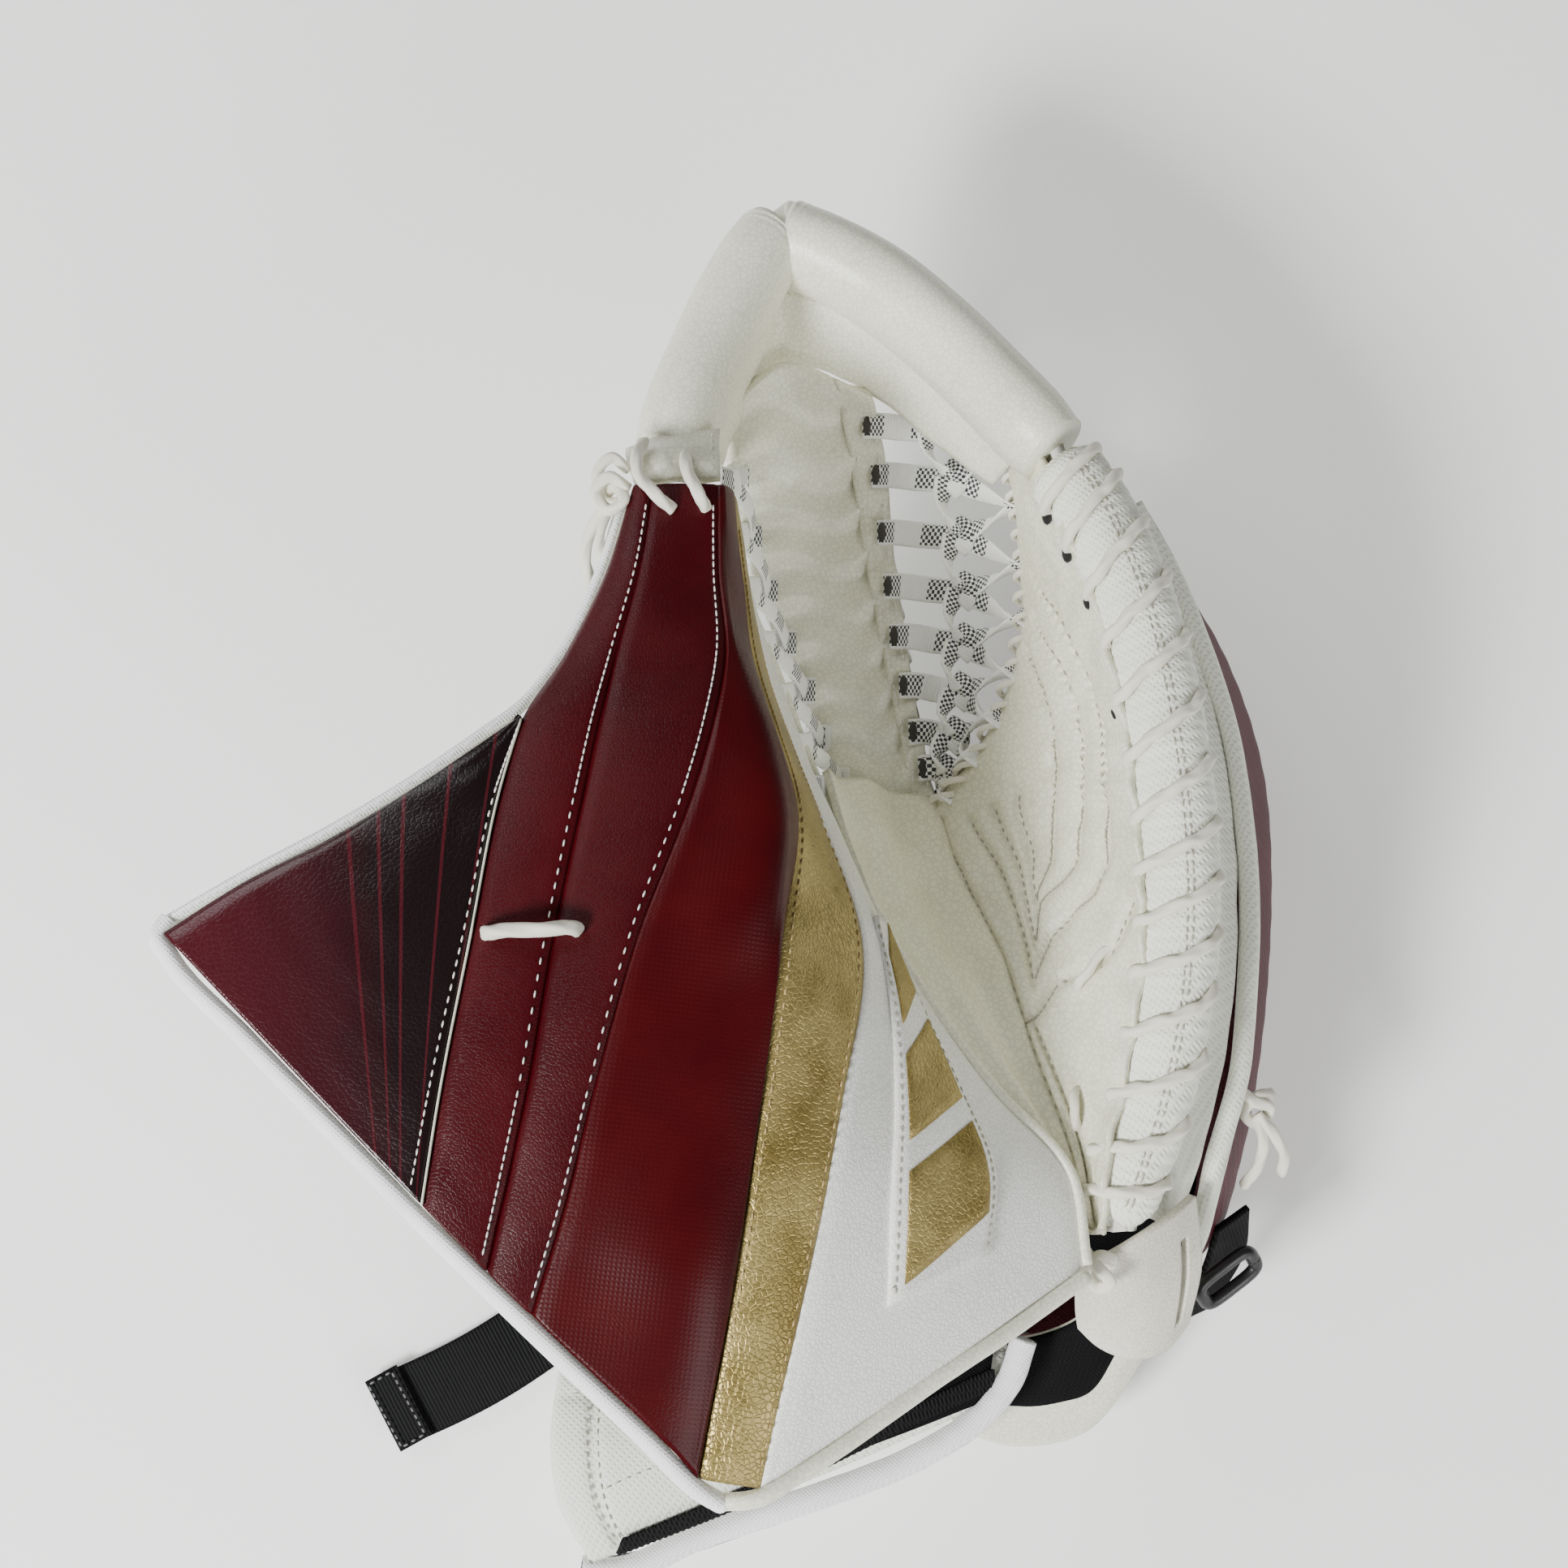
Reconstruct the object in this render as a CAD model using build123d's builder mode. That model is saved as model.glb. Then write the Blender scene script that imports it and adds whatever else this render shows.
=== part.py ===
from build123d import *

import math
import os

# Ice-hockey goalie catch glove, for the left hand, lying on its backhand.
# Millimetres. Z = 0 is the table, X runs from the cuff to the little finger, Y from wrist to T.
# The palm half is the root; the thumb half folds on a line from the heel to the T's peak.

# ---- driving dimensions ------------------------------------------------------------------
HEEL = Vector(94, -107, 100)          # lower end of the break line
PEAK = Vector(3, 199, 105)            # upper end of the break line, at the point of the T
CLOSE_HALF_DEG = 16                   # half of the closing travel, left free above the line
OPEN_HALF_DEG = 7                     # half of the opening travel, left free below the line
FOLD_GAP = 0.4                        # each side of the break line
SEAM_GAP = 0.15                       # half the gap between two panels
PANEL = 2.0                           # leather panel with its backing
BOARD_TOP = 3.2                       # foam board: depth below the face
BOARD_BOTTOM = 13.4
LINING_TOP = 13.8
LINING_BOTTOM = 15.4
LACE_R = 1.9                          # round waxed lace, about 4 mm thick
ROLL_R = 12.6                         # perimeter roll
T_ROLL_R = 13.0
BINDING_R = 3.0
BACKHAND = 7.0                        # backhand pad thickness
LINER = 1.6
LINER_GAP = 0.6
STRAP_W = 25.0                        # webbing
STRAP_T = 2.6
FIN_T = 2.0                           # finger divider

os.makedirs("parts", exist_ok=True)


# ---- construction helpers -----------------------------------------------------------------
def xz_plane(y):
    """A plane across the glove at this Y, with local x = X and local y = Z."""
    return Plane(origin=(0, y, 0), x_dir=(1, 0, 0), z_dir=(0, -1, 0))


def sunk(points, depth):
    """The row of (x, z) points moved to the right of its direction by depth, with mitred corners."""
    runs = [Vector(b[0] - a[0], b[1] - a[1]).normalized() for a, b in zip(points, points[1:])]
    moved = []
    for i, (x, z) in enumerate(points):
        before = runs[max(i - 1, 0)]
        after = runs[min(i, len(runs) - 1)]
        mean = (before + after).normalized()
        mitre = min(1 / max(mean.dot(after), 0.5), 1.5)
        moved.append((x + mean.Y * depth * mitre, z - mean.X * depth * mitre))
    return moved


def drawn_in(row, gap):
    """The row with both ends pulled in by the gap."""
    ends = []
    for end, inner in ((row[0], row[1]), (row[-1], row[-2])):
        moved = Vector(*end) + (Vector(*inner) - Vector(*end)).normalized() * gap
        ends.append((moved.X, moved.Y))
    return [ends[0], *row[1:-1], ends[1]]


def skin(rows, top, bottom, first=0, last=None, gap=0.0):
    """Ruled loft through one section per y: [(x, z), ...], between two depths below the face.

    first and last pick the part of each row that this piece covers, gap keeps it off its neighbours.
    """
    with BuildPart() as piece:
        for y, row in rows.items():
            outer = drawn_in(sunk(row, top)[first:last], gap)
            inner = drawn_in(sunk(row, bottom)[first:last], gap)
            with BuildSketch(xz_plane(y)):
                with BuildLine():
                    Polyline(*outer, *reversed(inner), close=True)
                make_face()
        loft(ruled=True)
    return piece.part


def band(side_a, side_b, thick):
    """Ruled strip between two rows of 3-D points."""
    with BuildPart() as piece:
        for i, (a, b) in enumerate(zip(side_a, side_b)):
            across = (Vector(b) - Vector(a)).normalized()
            along = Vector(side_a[min(i + 1, len(side_a) - 1)]) - Vector(side_a[max(i - 1, 0)])
            along = (along - across * along.dot(across)).normalized()
            with BuildSketch(Plane(origin=a, x_dir=across, z_dir=along)):
                Rectangle((Vector(b) - Vector(a)).length, thick, align=(Align.MIN, Align.CENTER))
        loft(ruled=True)
    return piece.part


def tube(points, radii, ruled=False):
    """Loft of circles square to a row of 3-D points."""
    with BuildPart() as piece:
        for i, point in enumerate(points):
            along = Vector(points[min(i + 1, len(points) - 1)]) - Vector(points[max(i - 1, 0)])
            with BuildSketch(Plane(origin=point, z_dir=along)):
                Circle(radii[i] if isinstance(radii, (list, tuple)) else radii)
        loft(ruled=ruled)
    return piece.part


def lace(points, radius, bend):
    """Round lace along straight runs joined by arcs."""
    with BuildPart() as piece:
        with BuildLine() as route:
            FilletPolyline(*points, radius=bend)
        with BuildSketch(Plane(origin=points[0], z_dir=route.line % 0)):
            Circle(radius)
        sweep(path=route.line)
    return piece.part


def over_plan(points):
    """Prism of everything that stands over this outline in plan."""
    with BuildPart() as piece:
        with BuildSketch(Plane.XY):
            with BuildLine():
                Polyline(*points, close=True)
            make_face()
        extrude(amount=260)
    return piece.part


fold_line = (HEEL - PEAK).normalized()
fold_right = Vector(0, 0, 1).cross(fold_line)
FOLD_PLANE = Plane(origin=PEAK, x_dir=fold_right, z_dir=fold_line)
ABOVE = 200
BELOW = 250
REACH = 500


def fold_side(side):
    """Space on one side of the break line, in which that half turns clear of the other: -1 thumb, +1 hand."""
    with BuildPart() as piece:
        with BuildSketch(FOLD_PLANE):
            with BuildLine():
                Polyline(
                    (side * FOLD_GAP, 0),
                    (side * (FOLD_GAP + ABOVE * math.tan(math.radians(CLOSE_HALF_DEG))), ABOVE),
                    (side * REACH, ABOVE),
                    (side * REACH, -BELOW),
                    (side * (FOLD_GAP + BELOW * math.tan(math.radians(OPEN_HALF_DEG))), -BELOW),
                    close=True,
                )
            make_face()
        extrude(amount=REACH, both=True)
    return piece.part


THUMB_SIDE = fold_side(-1)
HAND_SIDE = fold_side(1)


def save(builder, name):
    builder.part.label = name
    export_step(builder.part, f"parts/{name}.step")


# ==== thumb half ===========================================================================
# Lines of the outer face at each station Y, from the cuff edge over the thumb ridge to the palm:
# left edge, seam 1, seam 2, seam 3, ridge, left and right side of the metallic stripe, lower edge.
FACE = {
    111: [(-39, 148), (-37, 149), (-33, 150), (-13.5, 150), (-12, 148), (-9.5, 139), (-9.5, 113), (-12, 103)],
    86: [(-46, 152), (-44, 153), (-36, 156), (-13, 152), (-11, 149), (-6.5, 140), (-5, 106), (-5.5, 92)],
    60: [(-58, 158), (-56, 159), (-42, 162), (-11, 160), (-8, 158), (-3, 145), (1, 106), (5, 88)],
    40: [(-69, 165), (-67, 166), (-46, 167), (-14, 168), (-1, 164), (3, 148), (8, 110), (12, 91)],
    18: [(-100, 170), (-73, 171), (-50, 172), (-20, 173), (5, 168), (9, 153), (16, 121), (21, 99)],
    -20: [(-164, 172), (-80, 175.4), (-56, 176), (-34, 178), (3, 170), (5, 168), (28, 140), (38, 112)],
    -64: [(-176, 174), (-87, 176.6), (-64, 177), (-46, 178), (-3, 169), (-1, 168), (22, 156), (70, 111)],
    -110: [(-176, 174), (-95, 175), (-74, 174), (-59, 174), (-10, 167), (-8, 166.5), (12, 160), (93, 110)],
    -172: [(-176, 172), (-105, 174), (-88, 172), (-76, 168), (-22, 160), (-20, 159.6), (-2, 155), (108, 108)],
}
EDGE, SEAM_1, SEAM_2, SEAM_3, RIDGE, GOLD_L, GOLD_R, LOW = range(8)
CUFF_PLAN = [(-161, -22), (-136, -47), (-89, -92), (-60, -120), (-13, -164), (19, -152), (40, -135), (66, -121),
             (91, -109), (125, -60), (60, 40), (10, 125), (-60, 125), (-180, 10)]
CUFF_PRISM = over_plan(CUFF_PLAN)


PANELS = {
    "cuff_outer_panel": (EDGE, SEAM_1, 18),
    "cuff_strip_left": (SEAM_1, SEAM_2, 111),
    "cuff_strip_right": (SEAM_2, SEAM_3, 111),
    "cuff_texture_panel": (SEAM_3, GOLD_L, 111),
    "cuff_gold_stripe": (GOLD_L, GOLD_R, 111),
    "cuff_white_panel": (GOLD_R, LOW, 111),
}
for name, (first, last, top_y) in PANELS.items():
    rows = {y: row for y, row in FACE.items() if y <= top_y}
    with BuildPart() as panel:
        add(skin(rows, 0, PANEL, first, last + 1, SEAM_GAP))
        add(CUFF_PRISM, mode=Mode.INTERSECT)
        add(THUMB_SIDE, mode=Mode.INTERSECT)
    save(panel, name)

# Foam and plastic board that gives the cuff and thumb their one flat slab.
BOARD_LINES = (EDGE, SEAM_2, RIDGE, GOLD_R, LOW)
BOARD_ROWS = {y: [row[i] for i in BOARD_LINES] for y, row in FACE.items()}
with BuildPart() as cuff_board:
    add(skin(BOARD_ROWS, BOARD_TOP, BOARD_BOTTOM))
    add(CUFF_PRISM, mode=Mode.INTERSECT)
    add(THUMB_SIDE, mode=Mode.INTERSECT)
save(cuff_board, "cuff_board")

with BuildPart() as cuff_lining:
    add(skin(BOARD_ROWS, LINING_TOP, LINING_BOTTOM))
    add(CUFF_PRISM, mode=Mode.INTERSECT)
    add(THUMB_SIDE, mode=Mode.INTERSECT)
save(cuff_lining, "cuff_lining")

# Raised emblem: a padded patch and plain metallic bars on the white panel.
EMBLEM_PLAN = [(26, -60), (50, -66), (48, -100), (40, -118), (22, -112)]
EMBLEM_BARS = [(-72, 26, 48), (-84, 25, 47), (-96, 24, 44)]
with BuildPart() as emblem_patch:
    add(skin(FACE, -1.2, -0.3, GOLD_R))
    add(over_plan(EMBLEM_PLAN), mode=Mode.INTERSECT)
save(emblem_patch, "emblem_patch")

with BuildPart() as emblem_bars:
    add(skin(FACE, -1.9, -1.4, GOLD_R))
    with BuildSketch(Plane.XY):
        for bar_y, left, right in EMBLEM_BARS:
            with Locations(((left + right) / 2, bar_y)):
                Rectangle(right - left - 4, 7)
    extrude(amount=260, mode=Mode.INTERSECT)
save(emblem_bars, "emblem_bars")

# Woven tape over the long cut edge, and rolled leather piping along the palm-side edge.
LONG_EDGE = [(-166, -22.5, 166), (-141.5, -47.5, 168), (-93.5, -94.5, 168), (-64.5, -122.5, 167), (-33, -152, 160),
             (-15, -169.5, 152)]
with BuildPart() as cuff_binding:
    add(tube(LONG_EDGE, BINDING_R))
save(cuff_binding, "cuff_binding")

PIPING = [(-9, -170, 150), (20, -156.5, 145), (41.5, -140, 138), (67, -126, 125), (84, -118, 112)]
with BuildPart() as cuff_piping:
    add(tube(PIPING, 2.4))
save(cuff_piping, "cuff_piping")

# Lace tie that holds the outer flap down: one staple of lace through two eyelets.
with BuildPart() as cuff_tie_lace:
    add(lace([(-75, -20, 177.6), (-75, -20, 181), (-51, -20, 182.2), (-51, -20, 178.6)], LACE_R, 2.0))
save(cuff_tie_lace, "cuff_tie_lace")

# Thumb stall: a sewn tube under the slab, closed at its tip.
STALL = [((-34, -50, 138), 17.0), ((-34, -5, 138), 17.0), ((-36, 32, 134), 15.5), ((-38, 74, 124), 11.5)]
STALL_WALL = 2.0
with BuildPart() as thumb_stall:
    for centre, radius in STALL:
        with BuildSketch(xz_plane(centre[1])):
            with Locations((centre[0], centre[2])):
                Circle(radius)
    loft(ruled=True)
    inner = [((c[0], c[1] + (-1 if i == 0 else 0) - (2 if i == 3 else 0), c[2]), r - STALL_WALL)
             for i, (c, r) in enumerate(STALL)]
    for centre, radius in inner:
        with BuildSketch(xz_plane(centre[1])):
            with Locations((centre[0], centre[2])):
                Circle(radius)
    loft(ruled=True, mode=Mode.SUBTRACT)
save(thumb_stall, "thumb_stall")

# Left arm of the T: a stuffed roll and the leather band inside it.
T_LEFT = [(3, 197, 104), (-8, 181, 108), (-16, 163, 112), (-23, 145, 117), (-28, 129, 121)]
with BuildPart() as t_roll_left:
    add(tube(T_LEFT, [T_ROLL_R] * 4 + [11.5]))
    add(THUMB_SIDE, mode=Mode.INTERSECT)
save(t_roll_left, "t_roll_left")

with BuildPart() as t_lining_left:
    add(band([(0, 179, 89), (-4, 163, 94), (-8, 146, 98), (-12, 133, 101)],
             [(0, 172, 82), (-5, 157, 83), (-10, 144, 84), (-14, 133, 86)], 2.0))
    add(THUMB_SIDE, mode=Mode.INTERSECT)
save(t_lining_left, "t_lining_left")

# Leather tab on the T's end, with the lace that ties it to the thumb tip.
with BuildPart() as t_tab_left:
    add(band([(-38, 121, 141), (-38, 113.5, 141)], [(-16, 125, 137), (-14, 114, 140)], 3.0))
save(t_tab_left, "t_tab_left")

with BuildPart() as thumb_tip_lace:
    add(lace([(-37, 117, 144.6), (-34, 112, 155), (-29, 104, 158), (-27, 98, 156.6)], LACE_R, 3.0))
    add(lace([(-24, 117, 143.6), (-22, 112, 155), (-19, 104, 157), (-18, 98, 155)], LACE_R, 3.0))
save(thumb_tip_lace, "thumb_tip_lace")

with BuildPart() as thumb_tip_knot:
    with Locations((-44, 108, 146)):
        Sphere(4.2)
    add(lace([(-46, 104, 144), (-50, 96, 140), (-52, 88, 134), (-51, 82, 128)], LACE_R, 5.0))
save(thumb_tip_knot, "thumb_tip_knot")

# Leather between the slab's lower edge and the break line, on the thumb side.
GUSSET = {
    24: [(22, 93), (30, 76), (44, 62), (60, 61)],
    5: [(28.5, 101), (36, 86), (48, 74), (66, 70)],
    -20: [(40, 109), (50, 94), (62, 86), (78, 80)],
    -50: [(61, 109), (66, 102), (76, 95), (88, 92)],
    -84: [(82, 107), (86, 103.5), (92, 100.3), (98, 98)],
}
with BuildPart() as thumb_gusset:
    add(skin(GUSSET, 0, 2.0))
    add(THUMB_SIDE, mode=Mode.INTERSECT)
save(thumb_gusset, "thumb_gusset")

# ==== web ==================================================================================
SPINE = {
    152: [(-12, 80), (12, 72), (32, 69)],
    142: [(-12, 78), (13, 67), (37, 62)],
    125: [(-9, 73), (14, 62), (39, 58)],
    106: [(-5, 66), (18, 56), (41, 55)],
    86: [(3, 60), (23, 52), (44, 53)],
    65: [(11, 56), (29, 50), (47, 51)],
    47: [(18, 54), (34, 49), (50, 51)],
    31: [(25, 54), (35, 52), (45, 54)],
}
SPINE_THICK = 3.5
with BuildPart() as web_spine:
    add(skin(SPINE, 0, SPINE_THICK))
save(web_spine, "web_spine")

EDGE_BAND_W = 7.0
with BuildPart() as spine_edge_band:
    rows = {}
    for y, (_, mid, right) in SPINE.items():
        way = (Vector(*mid) - Vector(*right)).normalized()
        inner_end = Vector(*right) + way * EDGE_BAND_W
        rows[y] = [(inner_end.X, inner_end.Y), right]
    add(skin(rows, -1.6, -0.3))
save(spine_edge_band, "spine_edge_band")

NET_T = 2.4
NET_LEFT = {
    112: [(-11, 101), (-7.5, 71)],
    86: [(-5.2, 89), (2, 63)],
    60: [(5.5, 85), (12, 59)],
    40: [(12.5, 88), (20, 58)],
}
with BuildPart() as web_net_left:
    add(skin(NET_LEFT, -NET_T / 2, NET_T / 2))
save(web_net_left, "web_net_left")

NET_RIGHT = {
    142: [(39, 62), (74, 84)],
    118: [(42, 57), (77, 81)],
    96: [(44, 54), (78, 78)],
    75: [(47.5, 52), (76, 73)],
    58: [(50, 51), (70, 67)],
    46: [(52.5, 51), (63, 62)],
}
with BuildPart() as web_net_right:
    add(skin(NET_RIGHT, -NET_T / 2, NET_T / 2))
save(web_net_right, "web_net_right")

# ==== hand half ============================================================================
PALM = {
    136: [(76, 86), (77.2, 92), (78, 99)],
    110: [(79, 81), (80.3, 96), (81, 110)],
    92: [(80.5, 78), (86, 95), (89.5, 113)],
    72: [(78.5, 74), (90, 92), (97, 113)],
    45: [(66, 64), (87, 80), (102, 112)],
    28: [(56, 57), (80, 72), (104, 111)],
    5: [(58, 70), (76, 73), (106, 109)],
    -20: [(66, 84), (82, 81), (105.5, 104)],
    -50: [(76, 96), (87, 94), (101, 100)],
    -84: [(86.5, 105), (89, 103), (92.5, 101.8)],
}
FOAM_REACH = 0.6                      # the foam stops this far up the last run, short of the roll
PALM_LEATHER = 2.4
FOAM_TOP = 2.8
FOAM_BOTTOM = 8.0
with BuildPart() as palm_leather:
    add(skin(PALM, 0, PALM_LEATHER))
    add(HAND_SIDE, mode=Mode.INTERSECT)
save(palm_leather, "palm_leather")

with BuildPart() as palm_foam:
    rows = {}
    for y, (low, mid, high) in PALM.items():
        stop = Vector(*mid) + (Vector(*high) - Vector(*mid)) * FOAM_REACH
        rows[y] = [low, mid, (stop.X, stop.Y)]
    add(skin(rows, FOAM_TOP, FOAM_BOTTOM))
    add(HAND_SIDE, mode=Mode.INTERSECT)
save(palm_foam, "palm_foam")

# Perimeter roll round the little-finger side.
ROLL = [(92, 119, 115), (104, 97, 119), (112, 72, 121), (117, 45, 121.5), (120, 18, 120.5), (121, -5, 117.5),
        (120, -28, 112.5), (115.5, -56, 106), (108, -82, 98), (104, -96, 93)]
with BuildPart() as perimeter_roll:
    add(tube(ROLL, [11.5] + [ROLL_R] * 7 + [11.5, 9.5]))
save(perimeter_roll, "perimeter_roll")

# Whip lace: separate loops over the roll.
LOOP_COUNT = 13
LOOP_CLEAR = 0.5
LOOP_START_DEG = 25
LOOP_SWEEP_DEG = 115
LOOP_SKEW = 0.45
with BuildLine() as roll_line:
    Spline(*ROLL)
with BuildPart() as perimeter_lace:
    for i in range(LOOP_COUNT):
        share = 0.07 + 0.87 * i / (LOOP_COUNT - 1)
        centre = roll_line.line @ share
        along = roll_line.line % share
        with BuildLine(Plane(origin=centre, x_dir=(1, 0, 0), z_dir=along)) as loop:
            CenterArc((0, 0), ROLL_R + LACE_R + LOOP_CLEAR, LOOP_START_DEG, LOOP_SWEEP_DEG)
        with BuildSketch(Plane(origin=loop.line @ 0, z_dir=loop.line % 0)):
            Circle(LACE_R)
        sweep(path=loop.line)
save(perimeter_lace, "perimeter_lace")

# Right arm of the T.
T_RIGHT = [(3, 197, 104), (30, 187, 106), (52, 168, 109), (71, 147, 113), (82, 134, 115)]
with BuildPart() as t_roll_right:
    add(tube(T_RIGHT, [T_ROLL_R] * 4 + [11.5]))
    add(HAND_SIDE, mode=Mode.INTERSECT)
save(t_roll_right, "t_roll_right")

with BuildPart() as t_lining_right:
    add(band([(7, 180, 89), (26, 171, 91), (44, 155, 93), (60, 139, 95)],
             [(7, 172, 82), (22, 163, 80), (36, 153, 78), (52, 138, 84)], 2.0))
    add(HAND_SIDE, mode=Mode.INTERSECT)
save(t_lining_right, "t_lining_right")

# Backhand pad: one bulged pad that the glove lies on, from the wrist edge to the fingertips.
BACK = {
    -160: [(30, 6), (70, 5), (80, 9), (87, 15), (91, 22)],
    -137: [(0, 2), (88, 1), (106, 8), (116, 18), (119, 30)],
    -110: [(-22, 0), (115, 0), (136, 14), (142, 35), (134, 60)],
    -80: [(-26, 0), (122, 0), (147, 15), (152, 45), (139, 78)],
    -36: [(-26, 0), (128, 0), (155, 16), (160, 45), (147, 84)],
    5: [(-20, 0), (130, 0), (158, 18), (163, 46), (149, 86)],
    45: [(5, 0), (125, 0), (152, 18), (160, 48), (146, 90)],
    80: [(35, 1), (115, 2), (140, 22), (147, 55), (135, 93)],
    108: [(62, 26), (104, 24), (121, 42), (127, 65), (119, 95)],
    122: [(78, 66), (98, 62), (110, 72), (113, 86), (108, 97)],
}
with BuildPart() as backhand_pad:
    add(skin(BACK, 0, -BACKHAND))
save(backhand_pad, "backhand_pad")

with BuildPart() as hand_liner:
    rows = {y: row for y, row in BACK.items() if -137 <= y <= 80}
    add(skin(rows, -BACKHAND - LINER_GAP, -BACKHAND - LINER_GAP - LINER, 0, 4))
save(hand_liner, "hand_liner")

# White woven tape over the backhand's upper edge, and the fabric wall up to the roll.
EDGE_LIFT = 3.6
binding_line = [(row[-1][0] - 3, y, row[-1][1] + EDGE_LIFT) for y, row in BACK.items() if -110 <= y <= 108]
with BuildPart() as backhand_binding:
    add(tube(binding_line, BINDING_R))
save(backhand_binding, "backhand_binding")

WALL = {
    100: [(114, 108), (117.5, 103)],
    72: [(124, 110), (131, 101)],
    45: [(128.5, 110), (138, 98)],
    5: [(132, 108), (142, 94)],
    -36: [(131, 100), (141, 92)],
    -80: [(119.5, 89), (131, 85)],
}
with BuildPart() as roll_wall:
    add(skin(WALL, -1.2, 1.2))
save(roll_wall, "roll_wall")

# Finger dividers: three sewn walls between the palm and the backhand.
FINS = [(84, 14, 56), (102, 14, 78), (120, 20, 86)]
FIN_Y = (-5, 78)
with BuildPart() as finger_dividers:
    for fin_x, fin_low, fin_top in FINS:
        with BuildSketch(Plane(origin=(fin_x, 0, 0), x_dir=(0, 1, 0), z_dir=(1, 0, 0))):
            with Locations(((FIN_Y[0] + FIN_Y[1]) / 2, (fin_low + fin_top) / 2)):
                Rectangle(FIN_Y[1] - FIN_Y[0], fin_top - fin_low)
        extrude(amount=FIN_T / 2, both=True)
save(finger_dividers, "finger_dividers")

# Leather tab at the heel, that the wrist strap passes through, with its slot.
with BuildPart() as heel_tab:
    add(band([(97, -122, 88), (101, -141, 62), (105, -146, 44)],
             [(128, -108, 82), (126, -124, 58), (126, -134, 44)], 2.6))
save(heel_tab, "heel_tab")

with BuildPart() as heel_knot:
    with Locations((98, -113, 99)):
        Sphere(4.0)
    add(HAND_SIDE, mode=Mode.INTERSECT)
save(heel_knot, "heel_knot")

with BuildPart() as side_knot:
    with Locations((151, -66, 76)):
        Sphere(4.2)
    add(lace([(152, -70, 76), (156, -76, 74), (160, -81, 68), (161, -85, 62)], 1.6, 3.5))
save(side_knot, "side_knot")

# Short lace ties through the palm seams.
with BuildPart() as palm_ties:
    add(lace([(88, -36, 100), (92, -30, 102.5), (98, -24, 106)], 1.4, 6.0))
save(palm_ties, "palm_ties")

# ==== wrist pad ============================================================================
PAD_HINGE_Y = -130
PAD = {
    -133: [(-58, 33), (-20, 30.5), (40, 27), (74, 28)],
    -150: [(-58, 47), (-20, 44.5), (40, 40), (70, 38)],
    -168: [(-56, 52), (-20, 47), (20, 43.5), (34, 42)],
    -186: [(-52, 52), (-30, 48.5), (-16, 46.5), (-5, 46)],
    -201: [(-50, 50), (-46, 48.5), (-41, 47.5), (-36, 47)],
}
PAD_T = 9.0
with BuildPart() as wrist_pad:
    add(skin(PAD, 0, PAD_T))
save(wrist_pad, "wrist_pad")

with BuildPart() as wrist_pad_roll:
    add(tube([(-44, -208.5, 42), (-7, -195, 41), (37, -177.5, 40), (76, -159, 38)], 3.6))
save(wrist_pad_roll, "wrist_pad_roll")

with BuildPart() as wrist_elastic:
    add(band([(-40, -202, 50.5), (0, -185, 49.2), (42, -164, 45.6)], [(-40, -190, 53), (-2, -173, 49.5), (40, -154, 44.6)], 1.2))
save(wrist_elastic, "wrist_elastic")

with BuildPart() as wrist_liner:
    add(band([(20, -136, 33.6), (66, -136, 32.4)], [(28, -150, 43.4), (66, -148, 41)], 1.0))
save(wrist_liner, "wrist_liner")

# ==== wrist strap ==========================================================================
STRAP_ROOT = (-34, -119)
STRAP_HINGE = (-70, -134.5)
STRAP_TIP = (-122, -163.5)


def strap_piece(start, end, low):
    """Flat length of webbing between two plan points."""
    way = Vector(end[0] - start[0], end[1] - start[1], 0)
    with BuildPart() as piece:
        with BuildSketch(Plane(origin=(start[0], start[1], low), x_dir=way, z_dir=(0, 0, 1))):
            Rectangle(way.length, STRAP_W, align=(Align.MIN, Align.CENTER))
        extrude(amount=STRAP_T)
    return piece.part


with BuildPart() as strap_base:
    add(strap_piece(STRAP_ROOT, (-68.5, -133.8), 2.5))
save(strap_base, "strap_base")

with BuildPart() as strap_tail:
    add(strap_piece((-72, -135.5), STRAP_TIP, 2.5))
save(strap_tail, "strap_tail")

with BuildPart() as strap_end_tab:
    add(strap_piece((-119.5, -162), (-127, -166.2), 5.5))
save(strap_end_tab, "strap_end_tab")

# Strap band on the right, with its plastic keeper.
with BuildPart() as strap_band:
    add(band([(141, -106, 50), (139, -118, 36), (133, -134, 24)], [(150, -98, 50), (151, -112, 36), (143, -129, 24)], 2.4))
save(strap_band, "strap_band")

KEEPER_CENTRE = (147, -124, 46)
with BuildPart() as strap_keeper:
    with BuildSketch(Plane(origin=KEEPER_CENTRE, x_dir=(0.8, 0.6, 0), z_dir=(0.35, -0.6, 0.7))):
        RectangleRounded(34, 16, 3)
        RectangleRounded(28, 10, 2, mode=Mode.SUBTRACT)
    extrude(amount=2.5)
save(strap_keeper, "strap_keeper")
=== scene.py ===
import math

import bmesh
import bpy
from mathutils import Matrix, Vector, noise


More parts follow.
